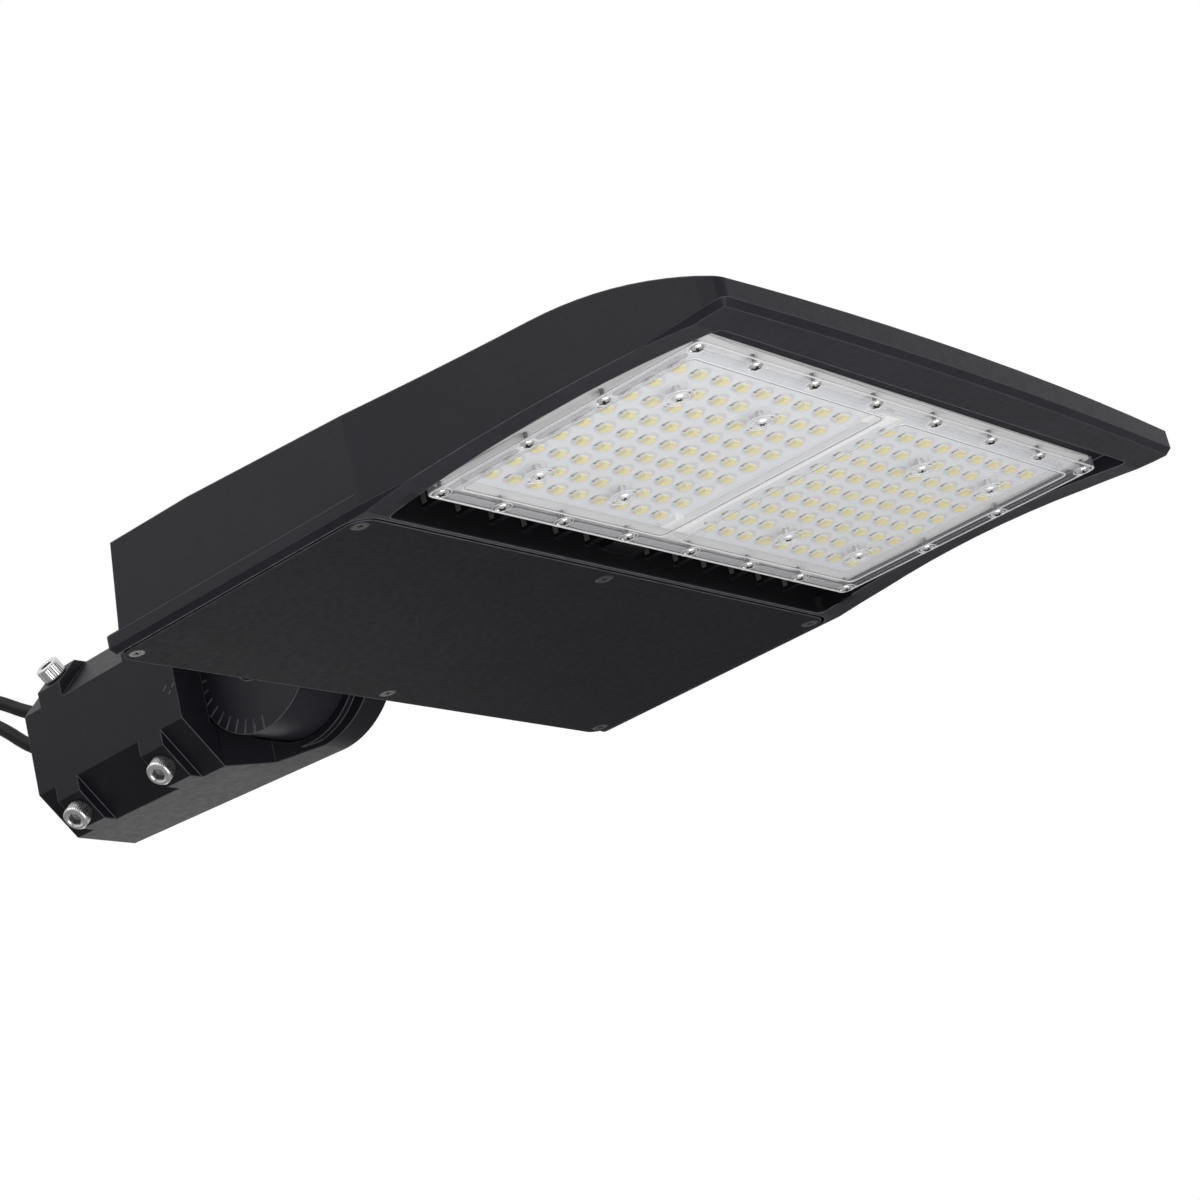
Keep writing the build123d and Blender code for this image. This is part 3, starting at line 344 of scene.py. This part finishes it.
cast_look = {"dark": 0.010, "light": 0.014, "edge": 0.16, "roughness": 0.40, "gloss": 0.18}
cover_look = {"dark": 0.0045, "light": 0.0065, "edge": 0.16, "roughness": 0.54, "gloss": 0.09}
# Painted shade: the arm gets a darker copy of the cast coat, standing in for the weaker light on its faces.
arm_shaded_look = {"dark": 0.0062, "light": 0.0092, "edge": 0.13, "roughness": 0.42, "gloss": 0.17}
die_seam = {"height": -0.0345, "front": 0.344, "out": 0.1708}
lens_slot = {"back": 0.3438, "front": 0.3640, "low": -0.0415, "high": -0.0150, "half_width": 0.160}
finishes = {
    "cord_jacket": jacket.material,
    "cast_grey": powder_coat("cast_powder_coat", **cast_look),
    "cover_grey": powder_coat("cover_powder_coat", **cover_look),
}
own_finish = {
    "housing": powder_coat("housing_powder_coat", **cast_look, seam=die_seam, slot=lens_slot),
    "slip_fitter_arm": powder_coat("arm_shaded_powder_coat", **arm_shaded_look),
}
print("coats of one casting:", list(own_finish))

# %% [markdown]
# ## Steel
# Screws and pivot are stainless steel, and the cover's screws are black with oxide. All are bare metal, so
# they show the bright studio; only the grey, the roughness and a fine grain tell them apart. One function
# with those numbers is enough.

# %% Steel
def bare_steel(name, dark, light, roughness):
    steel = Finish(name)
    grain = steel.noise(2200.0, 3.0)
    steel.surface(
        Base_Color=steel.blend(steel.noise(180.0), grey(dark), grey(light)),
        Metallic=1.0,
        Roughness=grain * 0.16 + roughness,
        Normal=steel.bump(0.08, 0.0001, grain),
    )
    return steel.material


finishes["stainless"] = bare_steel("stainless_steel", 0.52, 0.68, 0.18)
finishes["black_steel"] = bare_steel("black_oxide_steel", 0.045, 0.075, 0.26)
bright_steel = bare_steel("bright_steel", 0.80, 0.92, 0.20)
# Painted highlight: a paler copy of the screw steel for the inner lens screws, standing in for their bright
# glints.
painted_glint_steel = bare_steel("painted_glint_steel", 0.93, 0.98, 0.45)
# Painted shade: a darker copy of the steel for the walls of the clamp screws' hex sockets.
socket_shade_steel = bare_steel("socket_shade_steel", 0.22, 0.34, 0.32)
# Painted shade: a dark copy of the steel for the shanks of the rim lens screws, seen through the clear rim.
shank_shade_steel = bare_steel("shank_shade_steel", 0.05, 0.09, 0.34)
print("steels on screws:", bright_steel.name, painted_glint_steel.name, socket_shade_steel.name, shank_shade_steel.name)

# %% [markdown]
# ## Plastics and rubber
# Boards, LEDs, seals and gear are moulded or printed in one colour. Each gets two near shades of it, mixed
# by a soft noise, and a fine grain, because a single flat shade looks like a drawing.

# %% Plastics and rubber
def moulded(name, dark, light, roughness, tint=(1.0, 1.0, 1.0)):
    plastic = Finish(name)
    grain = plastic.noise(900.0, 2.0)
    shades = [(*(level * share for share in tint), 1.0) for level in (dark, light)]
    plastic.surface(
        Base_Color=plastic.blend(plastic.noise(70.0), *shades),
        Roughness=grain * 0.12 + roughness,
        Normal=plastic.bump(0.1, 0.0001, grain),
    )
    return plastic.material


finishes["black_rubber"] = moulded("black_rubber", 0.012, 0.02, 0.6)
finishes["white_rubber"] = moulded("white_rubber", 0.80, 0.88, 0.5)
finishes["core_insulation"] = moulded("core_insulation", 0.3, 0.38, 0.4)
finishes["board_white"] = moulded("board_solder_mask", 0.79, 0.85, 0.3, (0.97, 0.985, 1.04))
finishes["white_plastic"] = moulded("white_plastic", 0.92, 0.98, 0.3)
finishes["gear_black"] = moulded("gear_black", 0.02, 0.03, 0.4)
finishes["driver_case"] = moulded("driver_case", 0.45, 0.55, 0.35)
finishes["led_yellow"] = moulded("led_phosphor", 0.84, 0.95, 0.3, (1.0, 0.88, 0.36))
led_cream = moulded("led_package", 0.84, 0.92, 0.35, (1.0, 0.98, 0.90))
mark_paint = moulded("mark_paint", 0.09, 0.13, 0.5)
# Painted shade: a grey for the small dark patches beside the LEDs.
led_shade_grey = moulded("led_shade_grey", 0.16, 0.24, 0.4)
# Painted shade: a dark finish for the walls of the screw drives.
recess_shade_dark = moulded("recess_shade_dark", 0.012, 0.02, 0.5)
# Painted light: the fin roots get a lighter grey than the cast coat.
fin_lit_grey = moulded("fin_lit_grey", 0.07, 0.10, 0.45)
print("finishes so far:", len(bpy.data.materials))

# %% [markdown]
# ## Clear plastic
# The lens panel is one clear moulding. Glass that bends every ray is slow to render and noisy over so many
# LEDs, so the panel is mostly see-through by its alpha and keeps a glossy skin. Ridges are painted milkier,
# as a painted highlight for the light they catch, and grooves darker, as painted shade on their walls.

# %% Clear plastic
def clear_plastic(name, level, veil, roughness, bend=1.5):
    clear = Finish(name)
    clear.surface(
        Base_Color=clear.blend(clear.noise(25.0), grey(level, 0.02), grey(level + 0.06, 0.02)),
        Roughness=clear.noise(500.0) * 0.06 + roughness,
        Alpha=clear.noise(40.0) * 0.03 + veil,
        IOR=bend,
    )
    return clear.material


finishes["lens_clear"] = clear_plastic("lens_clear", 0.92, 0.11, 0.06)
# Painted highlight: the beads are a milky, nearly opaque white for the light that clear ridges catch.
ridge_clear = clear_plastic("lens_ridge_clear", 0.92, 0.55, 0.10)
dome_clear = clear_plastic("led_dome_clear", 0.85, 0.03, 0.05, 1.25)
# Painted shade: darker clear finishes for the grooves of the rim, the narrow ones darkest.
groove_clear = clear_plastic("lens_groove_clear", 0.70, 0.24, 0.12)
groove_dark = clear_plastic("lens_groove_dark", 0.05, 0.62, 0.12)
groove_shade = clear_plastic("lens_groove_shade", 0.42, 0.36, 0.12)
ridge_shade = clear_plastic("lens_ridge_shade", 0.30, 0.45, 0.12)

for part in frame["record"]["subparts"]:
    for slot in nodes[part["node"]].material_slots:
        slot.material = own_finish.get(part["node"], finishes[part["material_slot"]])
print("finishes for slots:", len(finishes))

# %% [markdown]
# ## Turned and moulded fittings
# Screws, LEDs and seats come by the dozen, so a fitting is made once and set in place many times. A profile
# turned about its axis gives a screw, and a boolean cut gives its drive. Copies could be made in a loop, but
# a Geometry Nodes group puts one on every place in a list and turns each a little, all in one step.

# %% Makers
FLUTED_ABOVE = 6.45


def keep(name, build, material):
    """Makes a linked mesh object from a bmesh."""
    mesh = bpy.data.meshes.new(name)
    bmesh.ops.recalc_face_normals(build, faces=build.faces)
    build.to_mesh(mesh)
    build.free()
    mesh.materials.append(material)
    return linked(name, mesh)


def turned(build, profile, segments, flutes=0.0):
    """Turns a profile of (radius, height) in mm about Z; flutes notch the widest rings."""
    rings = []
    for radius, height in profile:
        if radius == 0:
            rings.append([build.verts.new((0, 0, height * MM))])
            continue
        ring = []
        for k in range(segments):
            angle = 2 * math.pi * k / segments
            grip = radius - flutes * (k % 2) if radius > FLUTED_ABOVE else radius
            spot = Vector((grip * math.cos(angle), grip * math.sin(angle), height))
            ring.append(build.verts.new(spot * MM))
        rings.append(ring)
    for lower, upper in zip(rings, rings[1:]):
        for k in range(segments):
            after = (k + 1) % segments
            corners = [lower[k % len(lower)], lower[after % len(lower)]]
            corners += [upper[after % len(upper)], upper[k % len(upper)]]
            build.faces.new(list(dict.fromkeys(corners)))


def block(build, size, centre, turn=None):
    """Adds a box of size mm about centre mm."""
    made = bmesh.ops.create_cube(build, size=1.0)["verts"]
    bmesh.ops.scale(build, vec=Vector(size) * MM, verts=made)
    if turn is not None:
        bmesh.ops.rotate(build, matrix=turn, verts=made)
    bmesh.ops.translate(build, vec=Vector(centre) * MM, verts=made)
    return made


def soften(build, offset, segments):
    """Bevels every edge by offset mm."""
    bmesh.ops.bevel(build, geom=build.edges[:], offset=offset * MM, segments=segments, affect="EDGES")


def evaluated_mesh(piece):
    """Plain mesh of an object with its modifiers applied."""
    graph = bpy.context.evaluated_depsgraph_get()
    return bpy.data.meshes.new_from_object(piece.evaluated_get(graph))


def cut(piece, cutter):
    """Cuts one object out of another and throws the cutter away."""
    step = piece.modifiers.new("cut", "BOOLEAN")
    step.operation = "DIFFERENCE"
    step.solver = "EXACT"
    step.object = cutter
    mesh = evaluated_mesh(piece)
    piece.modifiers.clear()
    piece.data = mesh
    bpy.data.objects.remove(cutter)
    return piece


# %% Scatter group
def scatter_group():
    group = bpy.data.node_groups.new("set_in_places", "GeometryNodeTree")
    sockets = group.interface
    for label, kind in (("Places", "NodeSocketGeometry"), ("Fitting", "NodeSocketObject"),
                        ("Turn", "NodeSocketRotation"), ("Spin", "NodeSocketFloat"),
                        ("Finish", "NodeSocketMaterial"), ("Paint", "NodeSocketBool")):
        sockets.new_socket(label, in_out="INPUT", socket_type=kind)
    sockets.new_socket("Pieces", in_out="OUTPUT", socket_type="NodeSocketGeometry")
    inside = group.nodes.new("NodeGroupInput")
    outside = group.nodes.new("NodeGroupOutput")
    fitting = group.nodes.new("GeometryNodeObjectInfo")
    set_down = group.nodes.new("GeometryNodeInstanceOnPoints")
    chance = group.nodes.new("FunctionNodeRandomValue")
    chance.data_type = "FLOAT"
    chance.inputs["Seed"].default_value = 7
    axis = group.nodes.new("ShaderNodeCombineXYZ")
    spin = group.nodes.new("GeometryNodeRotateInstances")
    real = group.nodes.new("GeometryNodeRealizeInstances")
    paint = group.nodes.new("GeometryNodeSetMaterial")
    wire = group.links.new
    wire(inside.outputs["Places"], set_down.inputs["Points"])
    wire(inside.outputs["Fitting"], fitting.inputs["Object"])
    wire(fitting.outputs["Geometry"], set_down.inputs["Instance"])
    wire(inside.outputs["Turn"], set_down.inputs["Rotation"])
    wire(inside.outputs["Spin"], chance.inputs[3])
    wire(chance.outputs[1], axis.inputs["Z"])
    wire(set_down.outputs["Instances"], spin.inputs["Instances"])
    wire(axis.outputs[0], spin.inputs["Rotation"])
    wire(spin.outputs["Instances"], real.inputs["Geometry"])
    wire(real.outputs["Geometry"], paint.inputs["Geometry"])
    wire(inside.outputs["Finish"], paint.inputs["Material"])
    wire(inside.outputs["Paint"], paint.inputs["Selection"])
    wire(paint.outputs["Geometry"], outside.inputs["Pieces"])
    return group


set_in_places = scatter_group()
print("scatter group nodes:", len(set_in_places.nodes))

# %% Scatter
FACING_DOWN = (math.pi, 0.0, 0.0)


def hand_over(piece, body, node=None):
    """Lets a piece ride on a body, with the node it stands for."""
    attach(piece, body)
    if node:
        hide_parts(node)


def scatter(name, fitting, places, material, body, node=None, turn=(0.0, 0.0, 0.0), spin=0.0):
    """Puts copies of a fitting on places in mm and hands them over as one piece; without a material the
    copies keep the fitting's own."""
    mesh = bpy.data.meshes.new(name)
    mesh.from_pydata([tuple(value * MM for value in place) for place in places], [], [])
    piece = linked(name, mesh)
    step = piece.modifiers.new("places", "NODES")
    step.node_group = set_in_places
    sockets = set_in_places.interface.items_tree
    ids = {item.name: item.identifier for item in sockets if item.in_out == "INPUT"}
    step[ids["Fitting"]] = fitting
    step[ids["Turn"]] = turn
    step[ids["Spin"]] = spin
    step[ids["Finish"]] = material
    step[ids["Paint"]] = material is not None
    made = evaluated_mesh(piece)
    piece.modifiers.clear()
    piece.data = made
    bpy.data.objects.remove(fitting)
    hand_over(piece, body, node)
    print(name, "places", len(places), "faces", len(made.polygons))


# %% [markdown]
# ## Screws
# The lens screws have low pan heads, and their thin threads show through the clear rim, their steel painted
# dark as painted shade; the inner ones are painted paler, as a painted highlight for their glints. The cover
# screws are black and countersunk. A recess painted on the head would look flat as soon as the view turns,
# so each drive is cut into the turned head, and its walls are painted dark as painted shade. A saw-tooth
# profile stands for the thread.

# %% Screw makers
DRIVE_TAPER = 0.6
SHANK_SLOT = 2
MOST_SPIN = 1.5


def thread(radius, depth, start, end, pitch):
    """Saw-tooth profile of a thread from start down to end."""
    teeth = []
    height = start
    while height - pitch > end:
        teeth += [(radius, height), (radius - depth, height - pitch / 2)]
        height -= pitch
    return teeth + [(radius - depth, end), (0, end)]


def crossed_screw(name, head, shank, segments, top, depth, reach, width, finish, shank_finish):
    """Screw with a tapering cross recess; the shank has a finish of its own."""
    build = bmesh.new()
    turned(build, head, segments)
    screw = keep(name, build, finish)
    # The cut recess walls take the dark finish, as painted shade.
    screw.data.materials.append(recess_shade_dark)
    screw.data.materials.append(shank_finish)
    for size in ((2 * reach, width, 2 * depth), (width, 2 * reach, 2 * depth)):
        bar = bmesh.new()
        for corner in block(bar, size, (0, 0, top)):
            if corner.co.z < top * MM:
                corner.co.x *= DRIVE_TAPER
                corner.co.y *= DRIVE_TAPER
        cut(screw, keep("drive_cutter", bar, recess_shade_dark))
    whole = bmesh.new()
    whole.from_mesh(screw.data)
    before = len(whole.faces)
    turned(whole, shank, segments)
    whole.faces.ensure_lookup_table()
    for face in whole.faces[before:]:
        face.material_index = SHANK_SLOT
    bmesh.ops.recalc_face_normals(whole, faces=whole.faces)
    whole.to_mesh(screw.data)
    whole.free()
    print(name, "materials", [material.name for material in screw.data.materials])
    return screw


# %% Lens screws
LENS_UNDER_Z = -40.0
LED_FIRST_X, LED_PITCH_X = 383.3, 12.5
LED_OUTER_Y, LED_PITCH_Y = 130.3, 14.1
PAN_HEIGHT, PAN_SHANK = 1.2, 0.95
lens_rim_xs = (367.5, 503.5)
lens_rim_ys = (22.6, 67.0, 107.5, 145.6)
lens_side_xs = (415.2, 455.8)


def led_place(side, row, column):
    return (LED_FIRST_X + row * LED_PITCH_X, side * (LED_OUTER_Y - column * LED_PITCH_Y))


posts = [led_place(side, row, column) for side in (-1, 1) for row in (1, 7) for column in (1, 5)]
rim_places = [(x, side * y) for x in lens_rim_xs for side in (-1, 1) for y in lens_rim_ys]
rim_places += [(x, side * lens_rim_ys[-1]) for x in lens_side_xs for side in (-1, 1)]
pan_head = [(0, PAN_HEIGHT), (1.4, 1.12), (2.4, 0.84), (3.0, 0.45), (3.2, 0.15), (3.2, 0.0), (0, 0.0)]
pan_shank = [(0, 0.0), (PAN_SHANK, -0.01)] + thread(PAN_SHANK, depth=0.15, start=-0.3, end=-10.0, pitch=0.7)
pan_screw = crossed_screw("pan_screw", pan_head, pan_shank, segments=24, top=PAN_HEIGHT, depth=0.95,
                          reach=2.7, width=1.5, finish=bright_steel, shank_finish=shank_shade_steel)
scatter("lens_pan_screws", pan_screw, [(x, y, LENS_UNDER_Z) for x, y in rim_places], None, "head",
        node="lens_screws", turn=FACING_DOWN, spin=MOST_SPIN)
post_screw = crossed_screw("post_screw", pan_head, pan_shank, segments=24, top=PAN_HEIGHT, depth=0.8,
                           reach=2.2, width=1.0, finish=painted_glint_steel, shank_finish=painted_glint_steel)
scatter("lens_post_screws", post_screw, [(x, y, LENS_UNDER_Z) for x, y in posts], None, "head",
        turn=FACING_DOWN, spin=MOST_SPIN)

# %% Cover screws
COVER_UNDER_Z = -42.5
SUNK_DEPTH, SUNK_SHANK = 1.95, 2.0
cover_places = [(x, y, COVER_UNDER_Z) for x in (198.4, 334.1) for y in (-160.0, 0.0, 160.0)]
sunk_head = [(0, 0.0), (3.5, 0.0), (3.9, -0.25), (SUNK_SHANK, -SUNK_DEPTH), (0, -SUNK_DEPTH)]
sunk_shank = [(0, -SUNK_DEPTH), (SUNK_SHANK, -1.96)]
sunk_shank += thread(SUNK_SHANK, depth=0.3, start=-2.2, end=-6.6, pitch=0.7)
black_steel = finishes["black_steel"]
sunk_screw = crossed_screw("sunk_screw", sunk_head, sunk_shank, segments=28, top=0.0, depth=1.3,
                           reach=2.3, width=0.95, finish=black_steel, shank_finish=black_steel)
scatter("cover_sunk_screws", sunk_screw, cover_places, None, "head", node="cover_screws",
        turn=FACING_DOWN, spin=MOST_SPIN)

# %% [markdown]
# ## Clamp screws
# Four socket-head screws press the tenon in the socket. Their heads are knurled so that fingers can start
# them, and a hex key does the rest. Every second segment of the turned head is set back a little for the
# knurl, and a six-sided cutter makes the key's socket. Each stands on its own slanting pad, so the four are
# turned one by one and joined.

# %% Clamp screws
PAD_REACH, PAD_SHIFT = 48.2, 2.2
KNURL_SEGMENTS, KNURL_DEPTH = 72, 0.14
cap_profile = [(0, 7.5), (3.9, 7.5), (4.4, 7.95), (5.3, 8.0), (5.9, 7.85), (6.3, 7.4), (6.5, 6.8)]
cap_profile += [(6.5, 1.0), (6.3, 0.4), (6.0, 0.0), (4.0, 0.0)]
cap_profile += thread(4.0, depth=0.5, start=-0.5, end=-16.4, pitch=1.25)
key_profile = [(0, 8.5), (3.46, 8.5), (3.46, 4.4), (2.4, 4.0), (0, 3.6)]


def clamp_screw(build, x, up):
    """One socket-head screw with a knurled grip, standing on its pad."""
    outward = Vector((0, -1, up)).normalized()
    across = Vector((0, 1, up)).normalized()
    centre = Vector((x, 0, 0)) + outward * PAD_REACH + across * PAD_SHIFT
    screw = bmesh.new()
    turned(screw, cap_profile, KNURL_SEGMENTS, KNURL_DEPTH)
    made = keep("clamp_screw", screw, finishes["stainless"])
    # The key socket's walls take the darker steel, as painted shade in the recess.
    made.data.materials.append(socket_shade_steel)
    key = bmesh.new()
    turned(key, key_profile, 6)
    made = cut(made, keep("key_cutter", key, socket_shade_steel))
    stand = Matrix.Translation(centre * MM) @ outward.to_track_quat("Z", "X").to_matrix().to_4x4()
    made.data.transform(stand)
    build.from_mesh(made.data)
    bpy.data.objects.remove(made)


screws = bmesh.new()
for x in (20.0, 80.5):
    for up in (-1, 1):
        clamp_screw(screws, x, up)
clamp_set = keep("clamp_socket_screws", screws, finishes["stainless"])
clamp_set.data.materials.append(socket_shade_steel)
hand_over(clamp_set, "slip_fitter", "clamp_screws")
print("clamp_socket_screws faces", len(clamp_set.data.polygons))

# %% [markdown]
# ## LEDs
# Each LED is a cream package with a yellow phosphor square, a small patch of painted shade on the board
# beside it where its dome shows dark, and a clear dome. A turned profile with only four segments gives the
# square ones with sloping walls, so the same maker serves packages, phosphors and domes.

# %% LEDs
BOARD_UNDER_Z = -35.0
QUARTER = (math.pi, 0.0, math.pi / 4)
package_profile = [(0, 0.45), (3.4, 0.45), (3.54, 0.3), (3.54, 0.0), (0, 0.0)]
phosphor_profile = [(0, 2.2), (2.2, 2.2), (2.75, 1.9), (2.9, 0.4), (3.39, 0.2), (3.39, 0.0), (0, 0.0)]
dome_profile = [(0, 2.9), (1.8, 2.75), (3.6, 2.1), (4.6, 1.0), (5.0, 0.05), (0, 0.05)]


def turned_piece(name, profile, segments, material):
    build = bmesh.new()
    turned(build, profile, segments)
    return keep(name, build, material)


def led_trace():
    """Two small pads of painted shade beside an LED, where its dome shows dark."""
    build = bmesh.new()
    block(build, (3.8, 0.9, 0.1), (0.2, 3.9, 0.05))
    block(build, (1.2, 1.4, 0.1), (-1.2, 3.3, 0.05))
    soften(build, 0.02, 1)
    return keep("led_trace", build, led_shade_grey)


led_yellow = finishes["led_yellow"]
for label, side in (("left", 1), ("right", -1)):
    grid = [led_place(side, row, column) for row in range(9) for column in range(9)]
    spots = [(x, y, BOARD_UNDER_Z) for x, y in grid if (x, y) not in posts]
    phosphor = turned_piece("led_phosphor", phosphor_profile, 4, led_yellow)
    scatter("led_phosphors_" + label, phosphor, spots, led_yellow, "head", node="led_chips_" + label,
            turn=QUARTER)
    package = turned_piece("led_package", package_profile, 4, led_cream)
    scatter("led_packages_" + label, package, spots, led_cream, "head", turn=QUARTER)
    scatter("led_traces_" + label, led_trace(), spots, led_shade_grey, "head",
            turn=FACING_DOWN)
    dome = turned_piece("led_dome", dome_profile, 14, dome_clear)
    scatter("led_domes_" + label, dome, spots, dome_clear, "head", turn=FACING_DOWN)

# %% [markdown]
# ## Beads of the lens
# The moulded panel carries raised beads: around each of its two halves, along its rim and around its screws.
# Cutting them into the panel would take booleans on thin walls, so each is a closed curve with a round
# bevel, half sunk in the panel's underside. They are milky white, as a painted highlight for the light they
# catch, and a thin darker bead inside the large ones gives their shaded side.

# %% Lens beads
LENS_X0, LENS_X1, LENS_Y = 362.7, 508.3, 150.4
BEAD_Z = LENS_UNDER_Z - 0.1
BEAD_CORNER = 3.0
RIM_INSET = 0.5
MIDDLE_GAP = 4.8


def bead(build, loop, radius):
    """Round bead along a closed loop of points in mm."""
    holder, spline = tube("bead", "POLY", loop, radius * MM, smoothness=1)
    spline.use_cyclic_u = True
    build.from_mesh(evaluated_mesh(holder))
    bpy.data.objects.remove(holder)


def rounded_loop(x0, x1, y0, y1, corner, height=0.0, steps=5):
    """Rounded rectangle as a list of points."""
    loop = []
    for turn, (cx, cy) in enumerate(((x1 - corner, y1 - corner), (x0 + corner, y1 - corner),
                                     (x0 + corner, y0 + corner), (x1 - corner, y0 + corner))):
        for k in range(steps + 1):
            angle = math.pi / 2 * (turn + k / steps)
            loop.append((cx + corner * math.cos(angle), cy + corner * math.sin(angle), height))
    return loop


def ring_loop(x, y, radius, height=0.0, steps=5):
    """Circle as a list of points, from a square whose rounded corners meet."""
    return rounded_loop(x - radius, x + radius, y - radius, y + radius, radius, height, steps)


beads = bmesh.new()
shade_beads = bmesh.new()
for side in (-1, 1):
    for build, inset, side_inset, radius in ((beads, 10.8, 9.0, 0.4), (shade_beads, 11.6, 9.8, 0.22)):
        edges = sorted((side * (inset - MIDDLE_GAP), side * (LENS_Y - side_inset)))
        bead(build, rounded_loop(LENS_X0 + inset, LENS_X1 - inset, *edges, BEAD_CORNER, BEAD_Z), radius)
hand_over(keep("lens_shade_beads", shade_beads, ridge_shade), "head", None)
edge_y = LENS_Y - RIM_INSET
rim_loop = rounded_loop(LENS_X0 + RIM_INSET, LENS_X1 - RIM_INSET, -edge_y, edge_y, BEAD_CORNER,
                        LENS_UNDER_Z + 0.2)
bead(beads, rim_loop, 0.45)
for x, y in rim_places:
    bead(beads, ring_loop(x, y, 4.4, BEAD_Z, 6), 0.22)
for x, y in posts:
    for ring in (4.5, 6.8):
        bead(beads, ring_loop(x, y, ring, BEAD_Z, 6), 0.28)
hand_over(keep("lens_beads", beads, ridge_clear), "head", None)
print("rings around screws:", len(rim_places) + 2 * len(posts))

# %% [markdown]
# ## Seats and collars
# White seats stand on the boards under the inner screws, and white collars fill the gasket's holes around
# the others. A tube cut from a cylinder would need a boolean for each; a wall between two loops of the same
# length is closed by itself.

# %% Post seats and screw collars
def ring_wall(build, outer, inner, low, high):
    """Closed upright wall between two loops of the same length."""
    rows = [[build.verts.new((x * MM, y * MM, height * MM)) for x, y, _ in loop]
            for loop, height in ((outer, low), (outer, high), (inner, high), (inner, low))]
    count = len(outer)
    for near, far in zip(rows, rows[1:] + rows[:1]):
        for k in range(count):
            after = (k + 1) % count
            build.faces.new((near[k], near[after], far[after], far[k]))


for name, places, outer, inner, low, high in (("post_seats", posts, 4.75, 1.6, -35.05, -34.2),
                                              ("screw_collars", rim_places, 1.72, 1.0, -34.95, -34.05)):
    rings = bmesh.new()
    for x, y in places:
        ring_wall(rings, ring_loop(x, y, outer), ring_loop(x, y, inner), low, high)
    hand_over(keep(name, rings, finishes["white_rubber"]), "head", None)
    print(name, "places", len(places))

# %% [markdown]
# ## Grooves of the lens
# Long rounded recesses run between the rim screws, one wide or two narrow side by side. Seen from below they
# are grey strips with a bright edge. A cut into the clear panel would hardly show, so each is a shallow pad
# with a sloping edge and a darker clear finish, as painted shade for its walls.

# %% Lens grooves
GROOVE_BASE_Z, GROOVE_FACE_Z = LENS_UNDER_Z + 0.02, LENS_UNDER_Z - 0.6
GROOVE_HALF, NARROW_HALF = 2.4, 0.7
SCREW_CLEARANCE = 5.0


def capsule(build, x0, x1, y0, y1, corner=GROOVE_HALF):
    """Long shallow pad with round ends and a sloping edge on the rim's underside."""
    slope = corner / 3
    wide = rounded_loop(x0, x1, y0, y1, corner)
    narrow = rounded_loop(x0 + slope, x1 - slope, y0 + slope, y1 - slope, corner - slope)
    rows = [[build.verts.new((x * MM, y * MM, height * MM)) for x, y, _ in loop]
            for loop, height in ((wide, GROOVE_BASE_Z), (narrow, GROOVE_FACE_Z))]
    count = len(wide)
    for k in range(count):
        after = (k + 1) % count
        build.faces.new((rows[0][k], rows[0][after], rows[1][after], rows[1][k]))
    build.faces.new(rows[1])
    build.faces.new(rows[0][::-1])


def between(stops):
    """Clear stretches between neighbouring screws."""
    return [(near + SCREW_CLEARANCE, far - SCREW_CLEARANCE) for near, far in zip(stops, stops[1:])]


across_stops = [-y for y in reversed(lens_rim_ys)] + list(lens_rim_ys)
along_stops = (lens_rim_xs[0], *lens_side_xs, lens_rim_xs[1])
grooves = bmesh.new()
for x in lens_rim_xs:
    for start, end in between(across_stops):
        capsule(grooves, x - GROOVE_HALF, x + GROOVE_HALF, start, end)
hand_over(keep("lens_grooves", grooves, groove_clear), "head", None)
near_grooves = bmesh.new()
for start, end in between(along_stops):
    capsule(near_grooves, start, end, -148.2, -143.4)
hand_over(keep("lens_near_grooves", near_grooves, groove_shade), "head", None)
narrow_grooves = bmesh.new()
for start, end in between(along_stops):
    for y in (143.6, 147.4):
        capsule(narrow_grooves, start, end, y - NARROW_HALF, y + NARROW_HALF, 0.65)
hand_over(keep("lens_narrow_grooves", narrow_grooves, groove_dark), "head", None)
print("stretches across", len(between(across_stops)), "and along", len(between(along_stops)))

# %% [markdown]
# ## Marks on the knuckle
# The dial's graduations show the tilt, and short index strokes stand beside it on the ear. On the casting
# they are fine lines filled with pale paint. Paint in the coat would blur at this size, so each is a thin
# bar with a soft edge, turned about the pivot.

# %% Dial marks
PIVOT_X, DIAL_FACE_Y, DIAL_RIM = 136.0, -19.0, 37.4
LONG_MARK, SHORT_MARK = 6.8, 4.4
marks = bmesh.new()
for step in range(19):
    angle = math.radians(90 + 10 * step)
    long = LONG_MARK if step % 3 == 0 else SHORT_MARK
    reach = DIAL_RIM - long / 2
    middle = (PIVOT_X + reach * math.cos(angle), DIAL_FACE_Y + 0.15, reach * math.sin(angle))
    block(marks, (long, 0.24, 0.4), middle, Matrix.Rotation(-angle, 3, "Y"))
soften(marks, 0.06, 2)
hand_over(keep("dial_marks", marks, mark_paint), "head", None)
print("dial marks over", 10 * step, "degrees")

# %% Index strokes
EAR_FACE_Y = -39.35
STROKE_SLANT = Matrix.Rotation(math.radians(-38), 3, "Y")
strokes = bmesh.new()
for x, z, long in ((97.0, -3.0, 3.4), (99.6, -6.2, 2.2), (102.4, -3.6, 2.6)):
    block(strokes, (long, 0.2, 0.5), (x, EAR_FACE_Y, z), STROKE_SLANT)
soften(strokes, 0.06, 2)
index_strokes = keep("index_strokes", strokes, mark_paint)
hand_over(index_strokes, "slip_fitter", None)
print("index_strokes faces", len(index_strokes.data.polygons))

# %% [markdown]
# ## Fin roots
# The fins that cross the slot end in small rounded roots on the front wall of the driver compartment. They
# are painted a lighter grey than the coat, as painted light where they catch a little light in the dark
# slot.
# A softened block, set in place twelve times, is enough for them.

# %% Fin roots
ROOT_X, ROOT_Z, FIN_PITCH = 344.5, -29.8, 21.5
root = bmesh.new()
block(root, (4.2, 3.8, 7.0), (2.1, 0, 0))
soften(root, 0.9, 3)
root_places = [(ROOT_X, side * FIN_PITCH * k, ROOT_Z) for side in (-1, 1) for k in range(1, 7)]
scatter("fin_roots", keep("fin_root", root, fin_lit_grey), root_places, fin_lit_grey, "head")
